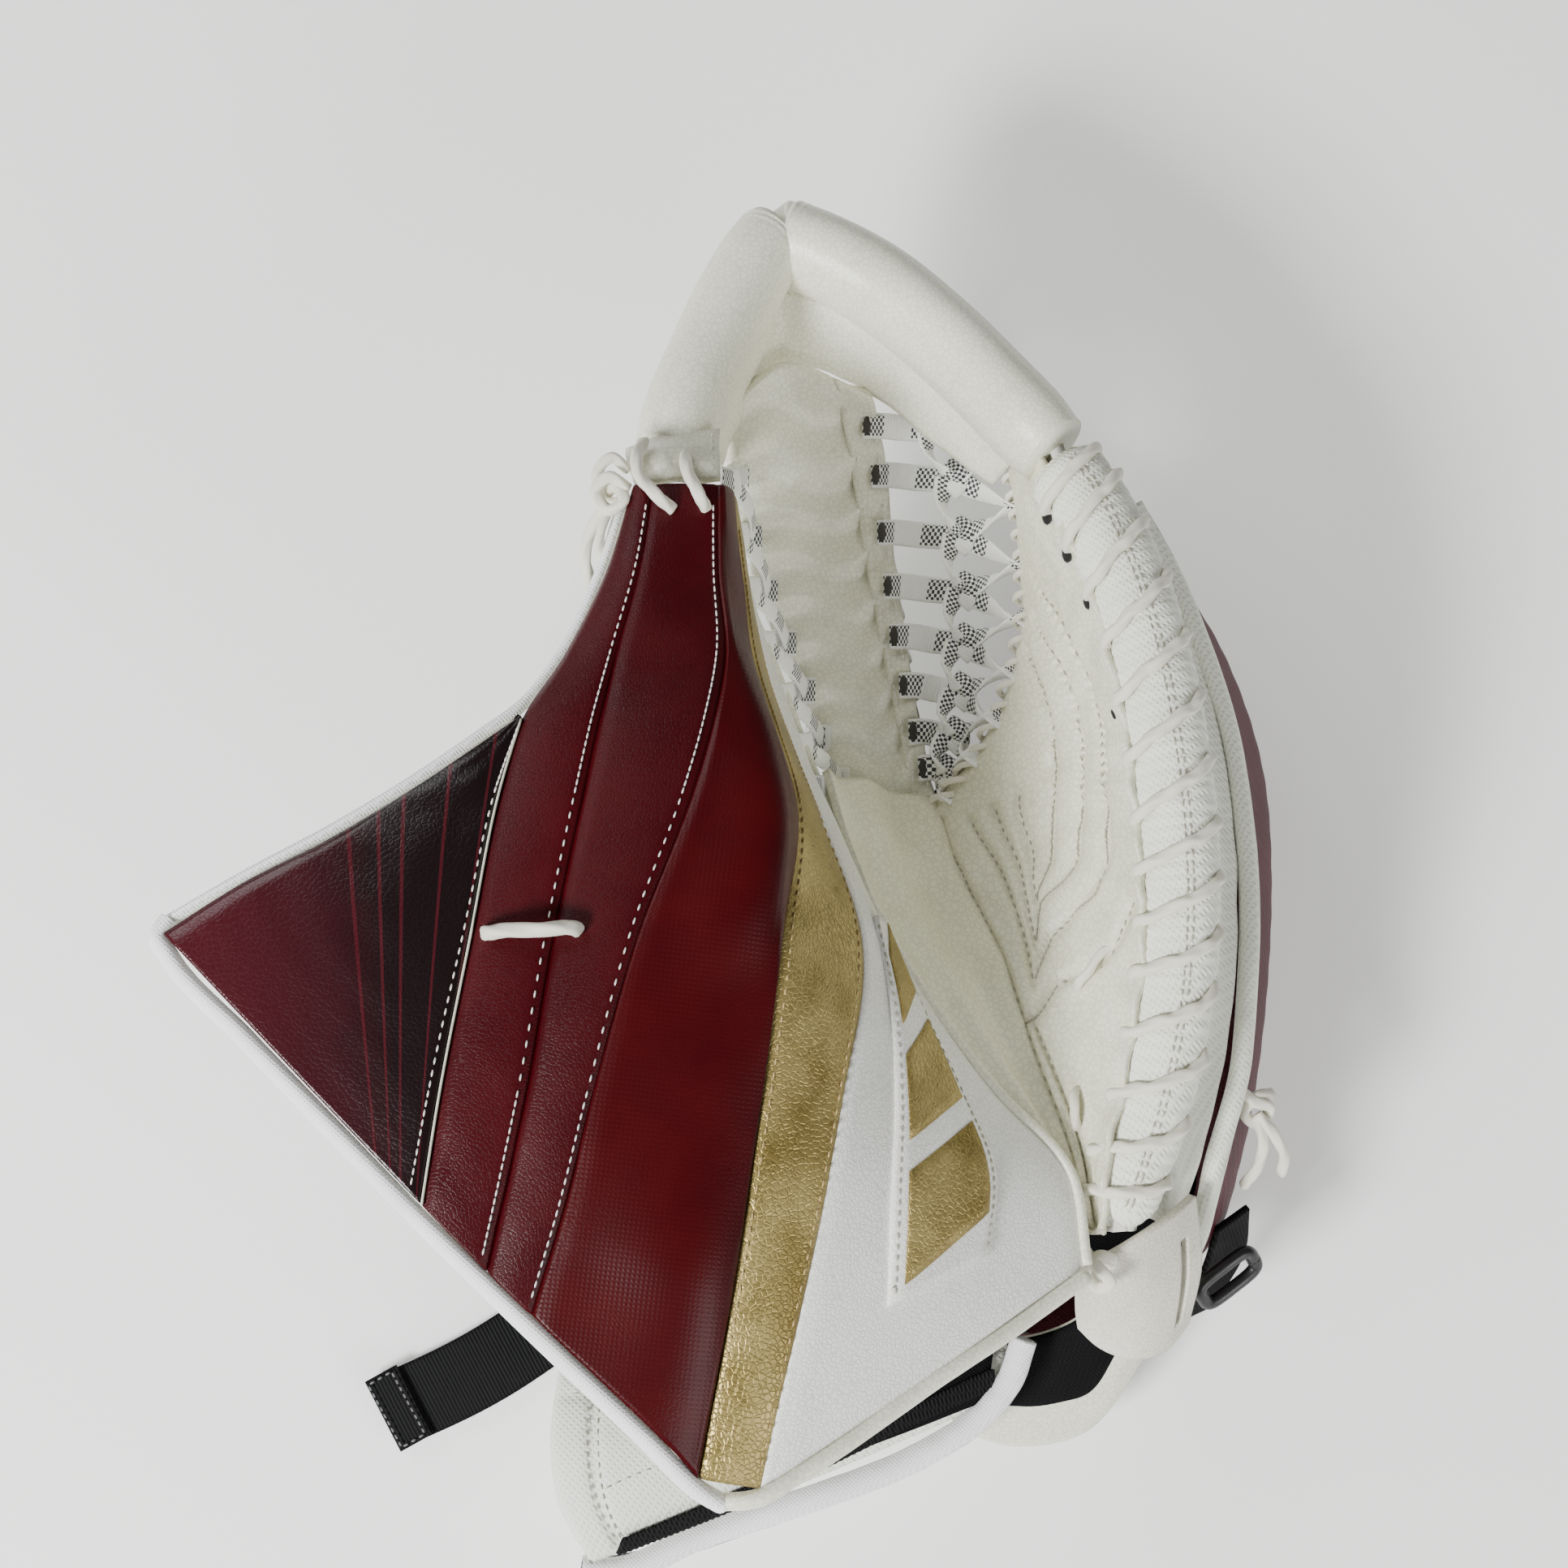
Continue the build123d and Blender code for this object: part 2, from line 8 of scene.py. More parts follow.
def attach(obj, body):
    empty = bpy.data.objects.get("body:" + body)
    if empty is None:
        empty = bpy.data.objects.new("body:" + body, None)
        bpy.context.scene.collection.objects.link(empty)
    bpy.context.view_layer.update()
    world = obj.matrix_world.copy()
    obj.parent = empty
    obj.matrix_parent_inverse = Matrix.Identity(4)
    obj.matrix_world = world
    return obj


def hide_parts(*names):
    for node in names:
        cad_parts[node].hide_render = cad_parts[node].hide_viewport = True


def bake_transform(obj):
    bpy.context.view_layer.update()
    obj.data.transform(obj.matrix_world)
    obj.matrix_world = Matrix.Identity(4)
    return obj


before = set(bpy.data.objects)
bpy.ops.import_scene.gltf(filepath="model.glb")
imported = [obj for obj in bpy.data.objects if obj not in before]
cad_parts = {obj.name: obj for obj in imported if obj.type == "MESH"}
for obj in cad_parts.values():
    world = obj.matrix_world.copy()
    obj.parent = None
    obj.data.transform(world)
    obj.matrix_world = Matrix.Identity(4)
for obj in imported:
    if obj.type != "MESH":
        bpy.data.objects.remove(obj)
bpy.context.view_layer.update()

# ==== Cuff and thumb slab ==================================================================
# The stiff one-piece cuff and thumb: foam and plastic board wrapped in leather, its face pieced
# from stripes. All later stripes lie on these seam lines, thumb tip first, in millimetres.
SEAM_1 = [(-39, 111, 148), (-46, 86, 152), (-57, 60, 158.5), (-68, 40, 165.5), (-73, 20, 170),
          (-80, -22, 175), (-87, -62, 176.5), (-89.5, -80, 176.5), (-91.5, -93, 176)]
LINE_2 = [(-33, 111, 150), (-36, 86, 156), (-42, 60, 162), (-46, 40, 167), (-50, 18, 172), (-57, -20, 176),
          (-64, -64, 177), (-69, -88, 176), (-74, -110.5, 174)]
SEAM_3 = [(-13.5, 111, 150), (-13, 86, 152), (-11, 60, 160), (-14, 40, 168), (-20, 18, 173),
          (-34, -20, 178), (-46, -64, 178), (-53.5, -94, 176), (-62, -122, 173)]
RIDGE = [(-12, 111, 148), (-11, 86, 149), (-8, 60, 158), (-1, 40, 164), (5, 18, 168), (3, -20, 170),
         (-3, -66, 169), (-9, -112, 167), (-20, -163.5, 160.5)]
GOLD_L = [(-9.5, 111, 139), (-6.5, 86, 140), (-3, 60, 145), (3, 40, 148), (9, 18, 153), (5, -20, 168),
          (-1, -66, 168), (-8, -112, 166), (-18, -166, 158.5)]
GOLD_R = [(-9.5, 111, 113), (-5, 86, 106), (1, 60, 106), (8, 40, 110), (16, 18, 121), (28, -20, 140),
          (22, -64, 156), (12, -112, 160), (-1, -169, 155)]
LOW = [(-12, 111, 103), (-5.5, 86, 92), (5, 60, 88), (12, 40, 91), (21, 18, 99), (38, -20, 112),
       (66, -60, 111), (89, -86, 109), (93, -112, 110)]
CUFF_OUT = [(-68.2, 41, 165.5), (-99, 19, 170), (-121, 5, 172), (-142, -6, 172.5), (-164, -20, 172)]
SEAM_1_LOW = [(-68, 40, 165.5), (-73, 20, 170), (-80, -22, 175), (-87, -62, 176.5), (-91.5, -93, 176)]
MM = 0.001


def smooth(points, share):
    """Point at this share of a smooth line through the points."""
    points = [Vector(p) for p in points]
    spot = min(max(share, 0.0), 1.0) * (len(points) - 1)
    i = min(int(spot), len(points) - 2)
    f = spot - i
    here, there = points[i], points[i + 1]
    run = there - here
    length = max(run.length, 1e-6)
    slope = run / length

    def tangent(a, b):
        before = max(a.length, 1e-6)
        after = max(b.length, 1e-6)
        return (a / before * after + b / after * before) / (before + after)

    start = tangent(here - points[i - 1], run) if i > 0 else slope
    stop = tangent(run, points[i + 2] - there) if i + 2 < len(points) else slope
    return (here * (2 * f ** 3 - 3 * f ** 2 + 1) + start * length * (f ** 3 - 2 * f ** 2 + f)
            + there * (3 * f ** 2 - 2 * f ** 3) + stop * length * (f ** 3 - f ** 2))


def surface(lines, across, along):
    """Point of the surface through the lines, in millimetres."""
    return smooth([smooth(line, along) for line in lines], across)


def finished(bm, name):
    """The bmesh as an object of the scene, smooth shaded."""
    mesh = bpy.data.meshes.new(name)
    bm.to_mesh(mesh)
    bm.free()
    mesh.polygons.foreach_set("use_smooth", [True] * len(mesh.polygons))
    piece = bpy.data.objects.new(name, mesh)
    bpy.context.collection.objects.link(piece)
    return piece


def fitted(bm, name, finish, slot, body=None, *stands_for):
    """The bmesh as a piece with its finish, riding on this body, in place of these CAD nodes."""
    piece = finished(bm, name)
    piece.data.materials.append(finish)
    if stands_for:
        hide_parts(*stands_for)
    if body:
        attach(piece, body)
    return piece


def skin(bm, lines, cells, relief, thick, facing=(0, 0, 1)):
    """Adds a skin over the lines, its outer side facing this way.

    relief(across, along) lifts it in mm, thick is its thickness in mm.
    """
    made = bmesh.ops.create_grid(bm, x_segments=cells[0], y_segments=cells[1], size=0.5)["verts"]
    faces = list(dict.fromkeys(f for v in made for f in v.link_faces))
    spots = {v: (v.co.x + 0.5, v.co.y + 0.5) for v in made}
    for v in made:
        v.co = surface(lines, *spots[v]) * MM
    bm.normal_update()
    mean = sum((f.normal * f.calc_area() for f in faces), Vector())
    if mean.dot(Vector(facing)) < 0:
        bmesh.ops.reverse_faces(bm, faces=faces)
        bm.normal_update()
    lifts = {v: v.normal * relief(*spots[v]) * MM for v in made}
    for v in made:
        v.co += lifts[v]
    bm.normal_update()
    bmesh.ops.solidify(bm, geom=faces, thickness=thick * MM)
    return faces


def hex_colour(text):
    """An sRGB hex colour as the linear values that shaders take."""
    channels = [int(text[i:i + 2], 16) / 255 for i in (1, 3, 5)]
    return (*[c / 12.92 if c <= 0.04045 else ((c + 0.055) / 1.055) ** 2.4 for c in channels], 1.0)


def add_node(tree, kind, inputs=None, **settings):
    """One shader node with its settings, values and links; a node given as a value links its first output."""
    made = tree.nodes.new("ShaderNode" + kind)
    for key, value in settings.items():
        setattr(made, key, value)
    for key, value in (inputs or {}).items():
        if isinstance(value, bpy.types.Node):
            value = value.outputs[0]
        if isinstance(value, bpy.types.NodeSocket):
            tree.links.new(value, made.inputs[key])
        else:
            made.inputs[key].default_value = value
    return made


def new_material(name):
    """An empty node material and its tree."""
    material = bpy.data.materials.new(name)
    material.use_nodes = True
    material.node_tree.nodes.clear()
    return material, material.node_tree


def shaded(tree, inputs):
    """Ends a material with one principled shader of these inputs."""
    add_node(tree, "OutputMaterial", {"Surface": add_node(tree, "BsdfPrincipled", inputs)})


def leather(name, dark, light, grain=1.1, rough=0.38, depth=0.3, coat=0.04, metal=0.0, cloud=26.0,
            shine=0.18):
    """Embossed leather: pebble grain of this size in mm, tint clouds, finer pores in the bump."""
    material, tree = new_material(name)
    place = add_node(tree, "TexCoord").outputs["Object"]
    clouds = add_node(tree, "TexNoise", {"Vector": place, "Scale": 1000 / cloud, "Detail": 5.0})
    cells = add_node(tree, "TexVoronoi", {"Vector": place, "Scale": 1000 / grain},
                     feature="DISTANCE_TO_EDGE")
    pores = add_node(tree, "TexNoise", {"Vector": place, "Scale": 3000 / grain, "Detail": 3.0})
    crack = add_node(tree, "MapRange", {0: cells.outputs["Distance"], 1: 0.0, 2: 0.16, 3: 0.0, 4: 1.0})
    tint = add_node(tree, "ValToRGB", {"Fac": clouds.outputs["Fac"]})
    tint.color_ramp.elements[0].position = 0.32
    tint.color_ramp.elements[0].color = hex_colour(dark)
    tint.color_ramp.elements[1].position = 0.68
    tint.color_ramp.elements[1].color = hex_colour(light)
    shade = add_node(tree, "MapRange", {0: crack, 1: 0.0, 2: 1.0, 3: 0.82, 4: 1.0})
    colour = add_node(tree, "Mix", {0: 1.0, 6: tint.outputs["Color"], 7: shade},
                      data_type="RGBA", blend_type="MULTIPLY")
    gloss = add_node(tree, "MapRange",
                     {0: clouds.outputs["Fac"], 1: 0.3, 2: 0.7, 3: rough - 0.06, 4: rough + 0.07})
    height = add_node(tree, "Math", {0: pores.outputs["Fac"], 1: 0.35, 2: crack},
                      operation="MULTIPLY_ADD")
    bump = add_node(tree, "Bump", {"Height": height, "Strength": depth, "Distance": 0.0004})
    shaded(tree, {"Base Color": colour.outputs[2], "Roughness": gloss, "Normal": bump,
                  "Coat Weight": coat, "Coat Roughness": 0.35, "Metallic": metal, "IOR": 1.5,
                  "Specular IOR Level": shine})
    return material


PANEL_THICK = 1.8
LIP = 0.9                             # how far a panel's edge rolls down into its seam
LIP_WIDE = 1.6


def stripe_relief(wide, crown):
    """A crowned stripe this many mm wide whose two long edges roll down into the seams."""
    def relief(across, along):
        edge = min(across, 1 - across) * wide
        fold = LIP * math.exp(-(edge / LIP_WIDE) ** 2)
        creases = noise.noise(Vector((across * wide * 0.05, along * 11, wide))) * 0.35
        return crown * 4 * across * (1 - across) - fold + creases
    return relief


STRIPES = {
    # name: lines across, mean width in mm, crown in mm, cells across and along
    "cuff_outer_panel": ([CUFF_OUT, SEAM_1_LOW], 60, 0.8, (56, 110)),
    "cuff_strip_left": ([SEAM_1, LINE_2], 20, 0.9, (22, 190)),
    "cuff_strip_right": ([LINE_2, SEAM_3], 24, 0.8, (24, 190)),
    "cuff_texture_panel": ([SEAM_3, RIDGE, GOLD_L], 56, 0.5, (60, 210)),
    "cuff_gold_stripe": ([GOLD_L, GOLD_R], 24, 0.9, (24, 210)),
    "cuff_white_panel": ([GOLD_R, LOW], 50, 1.6, (44, 200)),
}


def outer_panel_leather():
    """Glossy foil-printed leather: near-black at the seam, wine at the tip, with thin converging rays."""
    material, tree = new_material("wine_leather_foil_print")
    place = add_node(tree, "TexCoord").outputs["Object"]
    parts = add_node(tree, "SeparateXYZ", {"Vector": place})
    slant = add_node(tree, "Math", {0: parts.outputs["Y"], 1: 0.13, 2: parts.outputs["X"]},
                     operation="MULTIPLY_ADD")
    cloud = add_node(tree, "TexNoise", {"Vector": place, "Scale": 60.0, "Detail": 4.0})
    wander = add_node(tree, "Math", {0: cloud.outputs["Fac"], 1: 0.012, 2: slant},
                      operation="MULTIPLY_ADD")
    reach = add_node(tree, "MapRange", {0: wander, 1: -0.150, 2: -0.074, 3: 0.0, 4: 1.0})
    fade = add_node(tree, "ValToRGB", {"Fac": reach})
    ramp = fade.color_ramp
    ramp.elements[0].position, ramp.elements[0].color = 0.0, hex_colour("#400613")
    ramp.elements[1].position, ramp.elements[1].color = 1.0, hex_colour("#0E0103")
    ramp.elements.new(0.42).color = hex_colour("#30040D")
    ramp.elements.new(0.66).color = hex_colour("#120205")
    # Thin rays that fan out from a point below the long edge.
    side = add_node(tree, "Math", {0: parts.outputs["X"], 1: 0.096}, operation="ADD")
    down = add_node(tree, "Math", {0: parts.outputs["Y"], 1: 0.150}, operation="ADD")
    angle = add_node(tree, "Math", {0: side, 1: down}, operation="DIVIDE")
    rays = None
    for ray, wide in ((-0.115, 0.004), (-0.062, 0.0035), (-0.020, 0.0035), (0.052, 0.003), (0.115, 0.0022)):
        gap = add_node(tree, "Math", {0: angle, 1: ray}, operation="SUBTRACT")
        near = add_node(tree, "Math", {0: gap}, operation="ABSOLUTE")
        line = add_node(tree, "Math", {0: near, 1: wide}, operation="LESS_THAN")
        rays = line if rays is None else add_node(
            tree, "Math", {0: rays, 1: line}, operation="MAXIMUM")
    faint = add_node(tree, "Math", {0: rays, 1: 0.75}, operation="MULTIPLY")
    colour = add_node(tree, "Mix", {0: faint, 6: fade.outputs["Color"], 7: hex_colour("#480D18")},
                      data_type="RGBA")
    cells = add_node(tree, "TexVoronoi", {"Vector": place, "Scale": 700.0}, feature="DISTANCE_TO_EDGE")
    grain = add_node(tree, "MapRange", {0: cells.outputs["Distance"], 1: 0.0, 2: 0.2, 3: 0.0, 4: 1.0})
    bump = add_node(tree, "Bump", {"Height": grain, "Strength": 0.15, "Distance": 0.0003})
    shaded(tree, {"Base Color": colour.outputs[2], "Roughness": 0.28, "Normal": bump,
                  "Coat Weight": 0.15, "Coat Roughness": 0.18, "IOR": 1.5, "Specular IOR Level": 0.35})
    return material


def grid_leather():
    """Wine leather embossed with a fine square grid, worn smooth in soft patches."""
    material, tree = new_material("wine_leather_grid_emboss")
    place = add_node(tree, "TexCoord").outputs["Object"]
    turned = add_node(tree, "Mapping", {"Vector": place, "Rotation": (0.0, 0.0, 0.12)})
    cell_mm = 1.3
    rows, columns = [add_node(tree, "TexWave", {"Vector": turned, "Scale": 1000 / cell_mm / 3.18,
                                                "Distortion": 0.6}, bands_direction=way) for way in "XY"]
    weave = add_node(tree, "Math", {0: rows.outputs["Fac"], 1: columns.outputs["Fac"]},
                     operation="MULTIPLY")
    patch = add_node(tree, "TexNoise", {"Vector": place, "Scale": 30.0, "Detail": 3.0})
    cloud = add_node(tree, "TexNoise", {"Vector": place, "Scale": 45.0, "Detail": 6.0})
    cells = add_node(tree, "TexVoronoi", {"Vector": place, "Scale": 850.0}, feature="DISTANCE_TO_EDGE")
    grain = add_node(tree, "MapRange", {0: cells.outputs["Distance"], 1: 0.0, 2: 0.16, 3: 0.0, 4: 1.0})
    worn = add_node(tree, "MapRange", {0: patch.outputs["Fac"], 1: 0.35, 2: 0.6, 3: 0.2, 4: 1.0})
    height = add_node(tree, "Mix", {0: worn, 2: grain, 3: weave})
    tint = add_node(tree, "ValToRGB", {"Fac": cloud.outputs["Fac"]})
    tint.color_ramp.elements[0].position, tint.color_ramp.elements[0].color = 0.35, hex_colour("#3B0006")
    tint.color_ramp.elements[1].position, tint.color_ramp.elements[1].color = 0.68, hex_colour("#430308")
    dots = add_node(tree, "MapRange", {0: height, 1: 0.0, 2: 0.8, 3: 0.9, 4: 1.03})
    colour = add_node(tree, "Mix", {0: 1.0, 6: tint.outputs["Color"], 7: dots},
                      data_type="RGBA", blend_type="MULTIPLY")
    bump = add_node(tree, "Bump", {"Height": height, "Strength": 0.16, "Distance": 0.0003})
    shaded(tree, {"Base Color": colour.outputs[2], "Roughness": 0.36, "Normal": bump,
                  "IOR": 1.5, "Specular IOR Level": 0.2})
    return material


# Wine leather in four finishes, champagne foil on leather, pearl leather.
STRIPE_LEATHER = {
    "cuff_outer_panel": outer_panel_leather(),
    "cuff_strip_left": leather("wine_leather_smooth", "#390008", "#44020B", 1.0, depth=0.2),
    "cuff_strip_right": leather("wine_leather_satin", "#370007", "#42020A", 1.0, depth=0.2),
    "cuff_texture_panel": grid_leather(),
    "cuff_gold_stripe": leather("champagne_foil_leather", "#897742", "#B3A068", 1.5, depth=0.4,
                                coat=0.05, metal=0.6, cloud=18.0),
    "cuff_white_panel": leather("pearl_leather", "#F0EFEA", "#FAFAF6", 1.4, 0.34, 0.25, 0.15,
                                cloud=30.0, shine=0.5),
}
STRIPE_SLOT = {"cuff_outer_panel": "dark_maroon", "cuff_gold_stripe": "gold_leather",
               "cuff_white_panel": "pearl_leather"}
for name, (lines, wide, crown, cells) in STRIPES.items():
    bm = bmesh.new()
    skin(bm, lines, cells, stripe_relief(wide, crown), PANEL_THICK)
    if name == "cuff_outer_panel":
        bmesh.ops.remove_doubles(bm, verts=bm.verts, dist=0.00002)
    fitted(bm, name + "_leather", STRIPE_LEATHER[name], STRIPE_SLOT.get(name, "maroon_leather"),
           "thumb_half", name)

# Core of the slab: board in a white leather wrap, seen along its edges and below.
CORE_LINES = [SEAM_1, LINE_2, SEAM_3, RIDGE, GOLD_L, GOLD_R, LOW]
white_leather = leather("white_goalie_leather", "#E6E5D0", "#F1F0DE", 1.8, 0.34, 0.10, 0.1, 0.0, 40.0, 0.5)


def sunk(lines, depth):
    """The lines moved this many mm below the face that they span."""
    moved = []
    for i, line in enumerate(lines):
        before, after = lines[max(i - 1, 0)], lines[min(i + 1, len(lines) - 1)]
        row = []
        for j, p in enumerate(line):
            across = Vector(after[j]) - Vector(before[j])
            along = Vector(line[min(j + 1, len(line) - 1)]) - Vector(line[max(j - 1, 0)])
            row.append(Vector(p) + across.cross(along).normalized() * depth)
        moved.append(row)
    return moved


def slab(bm, lines, cells, top, bottom):
    """A closed body under the face, from top to bottom mm below it."""
    rims = []
    sheets = []
    for depth in (top, bottom):
        level = sunk(lines, depth)
        made = bmesh.ops.create_grid(bm, x_segments=cells[0], y_segments=cells[1], size=0.5)["verts"]
        faces = list(dict.fromkeys(f for v in made for f in v.link_faces))
        for v in made:
            spot = (v.co.x + 0.5) * (len(level) - 1)
            i = min(int(spot), len(level) - 2)
            along = v.co.y + 0.5
            v.co = smooth(level[i], along).lerp(smooth(level[i + 1], along), spot - i) * MM
        rims += [e for e in dict.fromkeys(e for f in faces for e in f.edges) if e.is_boundary]
        sheets += faces
    walls = bmesh.ops.bridge_loops(bm, edges=rims)["faces"]
    bmesh.ops.recalc_face_normals(bm, faces=sheets + walls)


bm = bmesh.new()
slab(bm, CORE_LINES, (42, 90), 2.6, 12.0)
slab(bm, [CUFF_OUT, SEAM_1_LOW], (16, 30), 2.6, 12.0)
fitted(bm, "cuff_core_wrap", white_leather, "foam_board", "thumb_half", "cuff_board")


def cloth_material(name, dark, light, thread, rough=0.8, depth=0.5, sheen=0.0, shine=0.3):
    """Woven cloth: two sets of threads this many mm apart, on three axes so that any side shows them."""
    material, tree = new_material(name)
    place = add_node(tree, "TexCoord").outputs["Object"]
    turned = add_node(tree, "Mapping", {"Vector": place, "Rotation": (0.5, 0.4, 0.785)})
    warp, weft = [add_node(tree, "TexWave", {"Vector": turned, "Distortion": 0.8, "Detail": 1.0,
                                             "Scale": 1000 / thread / 3.18}, bands_direction=way)
                  for way in "XY"]
    weave = add_node(tree, "Math", {0: warp.outputs["Fac"], 1: weft.outputs["Fac"]},
                     operation="MAXIMUM")
    cloud = add_node(tree, "TexNoise", {"Vector": place, "Scale": 35.0, "Detail": 5.0})
    mixed = add_node(tree, "Math", {0: weave, 1: 0.35, 2: cloud.outputs["Fac"]},
                     operation="MULTIPLY_ADD")
    tint = add_node(tree, "ValToRGB", {"Fac": mixed})
    tint.color_ramp.elements[0].position, tint.color_ramp.elements[0].color = 0.3, hex_colour(dark)
    tint.color_ramp.elements[1].position, tint.color_ramp.elements[1].color = 0.85, hex_colour(light)
    bump = add_node(tree, "Bump", {"Height": weave, "Strength": depth, "Distance": 0.0003})
    shaded(tree, {"Base Color": tint.outputs["Color"], "Roughness": rough, "Normal": bump,
                  "Sheen Weight": sheen, "Sheen Roughness": 0.5, "IOR": 1.45,
                  "Specular IOR Level": shine})
    return material


# Lining under the slab: black brushed knit, glued on.
black_liner = cloth_material("black_brushed_liner", "#040405", "#0D0D0F", 1.0, shine=0.15)
bm = bmesh.new()
slab(bm, CORE_LINES, (36, 80), 12.2, 14.0)
slab(bm, [CUFF_OUT, SEAM_1_LOW], (14, 26), 12.2, 14.0)
fitted(bm, "cuff_lining_knit", black_liner, "liner_fabric", "thumb_half", "cuff_lining")


# ==== Seam stitching of the face ===========================================================
# White polyester thread, about 3 mm a stitch, lying in two rows beside the seams.
def cotton(name, colour, rough=0.7):
    """Twisted thread or lace fibre: matt, with a fine fibre bump."""
    material, tree = new_material(name)
    place = add_node(tree, "TexCoord").outputs["Object"]
    fibre = add_node(tree, "TexNoise", {"Vector": place, "Scale": 2500.0, "Detail": 3.0})
    bump = add_node(tree, "Bump", {"Height": fibre.outputs["Fac"], "Strength": 0.4, "Distance": 0.0002})
    shaded(tree, {"Base Color": hex_colour(colour), "Roughness": rough, "Normal": bump,
                  "Sheen Weight": 0.2, "IOR": 1.5})
    return material


white_thread = cotton("white_polyester_thread", "#EFEDE8")
# Stitches on white leather and nylon: white thread toned grey-brown, painted shade of the stitch holes and
# grooves.
shade_darkened_thread = cotton("shade_darkened_thread", "#A9A493")
gold_thread = cotton("champagne_thread", "#B79E6A")


def stitch(bm, spot, way, up, length, radius):
    """One stitch: a small capsule lying along way."""
    side = way.cross(up).normalized()
    up = side.cross(way).normalized()
    turn = Matrix((way, side, up)).transposed().to_4x4()
    scale = Matrix.Diagonal((length / 2, radius, radius, 1.0))
    bmesh.ops.create_icosphere(bm, subdivisions=1, radius=1.0,
                               matrix=Matrix.Translation(spot) @ turn @ scale)


def sewn(bm, spot_at, length_mm, start=0.0, stop=1.0, pitch=2.9, thread=0.3, lift=0.2):
    """A row of stitches along spot_at(share) -> (point in mm, up)."""
    count = max(2, int(length_mm * (stop - start) / pitch))
    for i in range(count):
        share = start + (stop - start) * (i + 0.5) / count
        here, up = spot_at(share)
        ahead, _ = spot_at(min(share + 0.002, 1.0))
        behind, _ = spot_at(max(share - 0.002, 0.0))
        way = (ahead - behind).normalized()
        stitch(bm, (here + up * lift) * MM, way, up, pitch * 0.8 * MM, thread * MM)


PROBE = 0.6                           # the share where the surface shows which side is up


def face_up(lines, across, lift):
    """A function of share that runs along the upper side of the surface, at this place across it."""
    def normal_at(share):
        right = surface(lines, min(across + 0.02, 1), share) - surface(lines, max(across - 0.02, 0), share)
        ahead = surface(lines, across, min(share + 0.01, 1)) - surface(lines, across, max(share - 0.01, 0))
        return right.cross(ahead).normalized()

    side = -1 if normal_at(PROBE).z < 0 else 1

    def spot_at(share):
        up = normal_at(share) * side
        return surface(lines, across, share) + up * lift, up
    return spot_at


bm = bmesh.new()
for lines, across, lift, length in (
        ([CUFF_OUT, SEAM_1_LOW], 0.955, 0.1, 138),
        ([SEAM_1, LINE_2], 0.90, 0.25, 228), ([LINE_2, SEAM_3], 0.905, 0.2, 240)):
    sewn(bm, face_up(lines, across, lift), length, 0.03, 0.985)
fitted(bm, "cuff_seam_stitches", white_thread, "lace", "thumb_half")
bm = bmesh.new()
for across in (0.085, 0.915):
    sewn(bm, face_up([GOLD_L, GOLD_R], across, 0.1), 285, 0.05, 0.99)
fitted(bm, "gold_stripe_stitches", gold_thread, "gold_leather", "thumb_half")


def framed(points, rings, up=(0, 0, 1)):
    """Centres and two cross axes along a smooth line, carried without twist, in mm."""
    centres = [smooth(points, i / rings) for i in range(rings + 1)]
    frames = []
    side = None
    for i, centre in enumerate(centres):
        way = (centres[min(i + 1, rings)] - centres[max(i - 1, 0)]).normalized()
        if side is None:
            side = way.cross(Vector(up)).normalized()
        side = (side - way * side.dot(way)).normalized()
        frames.append((centre, side, side.cross(way).normalized()))
    return frames


def tube(bm, points, wide, tall, sides=12, rings=40, up=(0, 0, 1), lobes=0, lobe=0.0, turn_mm=8.0,
         shape=None, turns=0.0, caps=True):
    """A closed tube along the points, wide and tall in mm, lobed and twisted where it is a lace.

    shape(share, angle) scales it, turns twists a flat one. Its UV runs in mm along and round.
    """
    frames = framed(points, rings, up)
    length = sum((frames[i + 1][0] - frames[i][0]).length for i in range(rings))
    made = bmesh.ops.create_grid(bm, x_segments=sides, y_segments=rings, size=0.5)["verts"]
    faces = list(dict.fromkeys(f for v in made for f in v.link_faces))
    uv = bm.loops.layers.uv.verify()
    spots = {v: (v.co.x + 0.5, v.co.y + 0.5) for v in made}
    for f in faces:
        for loop in f.loops:
            around, along = spots[loop.vert]
            loop[uv].uv = (along * length * MM, around * (wide + tall) * 1.6 * MM)
    for v in made:
        around, along = spots[v]
        centre, side, top = frames[round(along * rings)]
        angle = around * math.tau
        swell = 1.0
        if lobes:
            swell += lobe * math.cos(lobes * angle + math.tau * along * length / turn_mm)
        if shape:
            swell *= shape(along, angle)
        twist = turns * math.tau * along
        x = math.cos(angle) * wide / 2 * swell
        y = math.sin(angle) * tall / 2 * swell
        v.co = (centre + side * (x * math.cos(twist) - y * math.sin(twist))
                + top * (x * math.sin(twist) + y * math.cos(twist))) * MM
    bmesh.ops.remove_doubles(bm, verts=made, dist=0.000001)
    faces = [f for f in faces if f.is_valid]
    if caps:
        rims = [e for e in dict.fromkeys(e for f in faces for e in f.edges) if e.is_boundary]
        faces += bmesh.ops.holes_fill(bm, edges=rims)["faces"]
    bmesh.ops.recalc_face_normals(bm, faces=faces)


# White raw edge of the leather under seam 1, showing as a thin line.
EDGE_WIDE, EDGE_TALL = 0.7, 1.6
bm = bmesh.new()
tube(bm, SEAM_1_LOW, EDGE_WIDE, EDGE_TALL, 6, 60)
fitted(bm, "cuff_raw_edge", white_leather, "white_leather", "thumb_half")


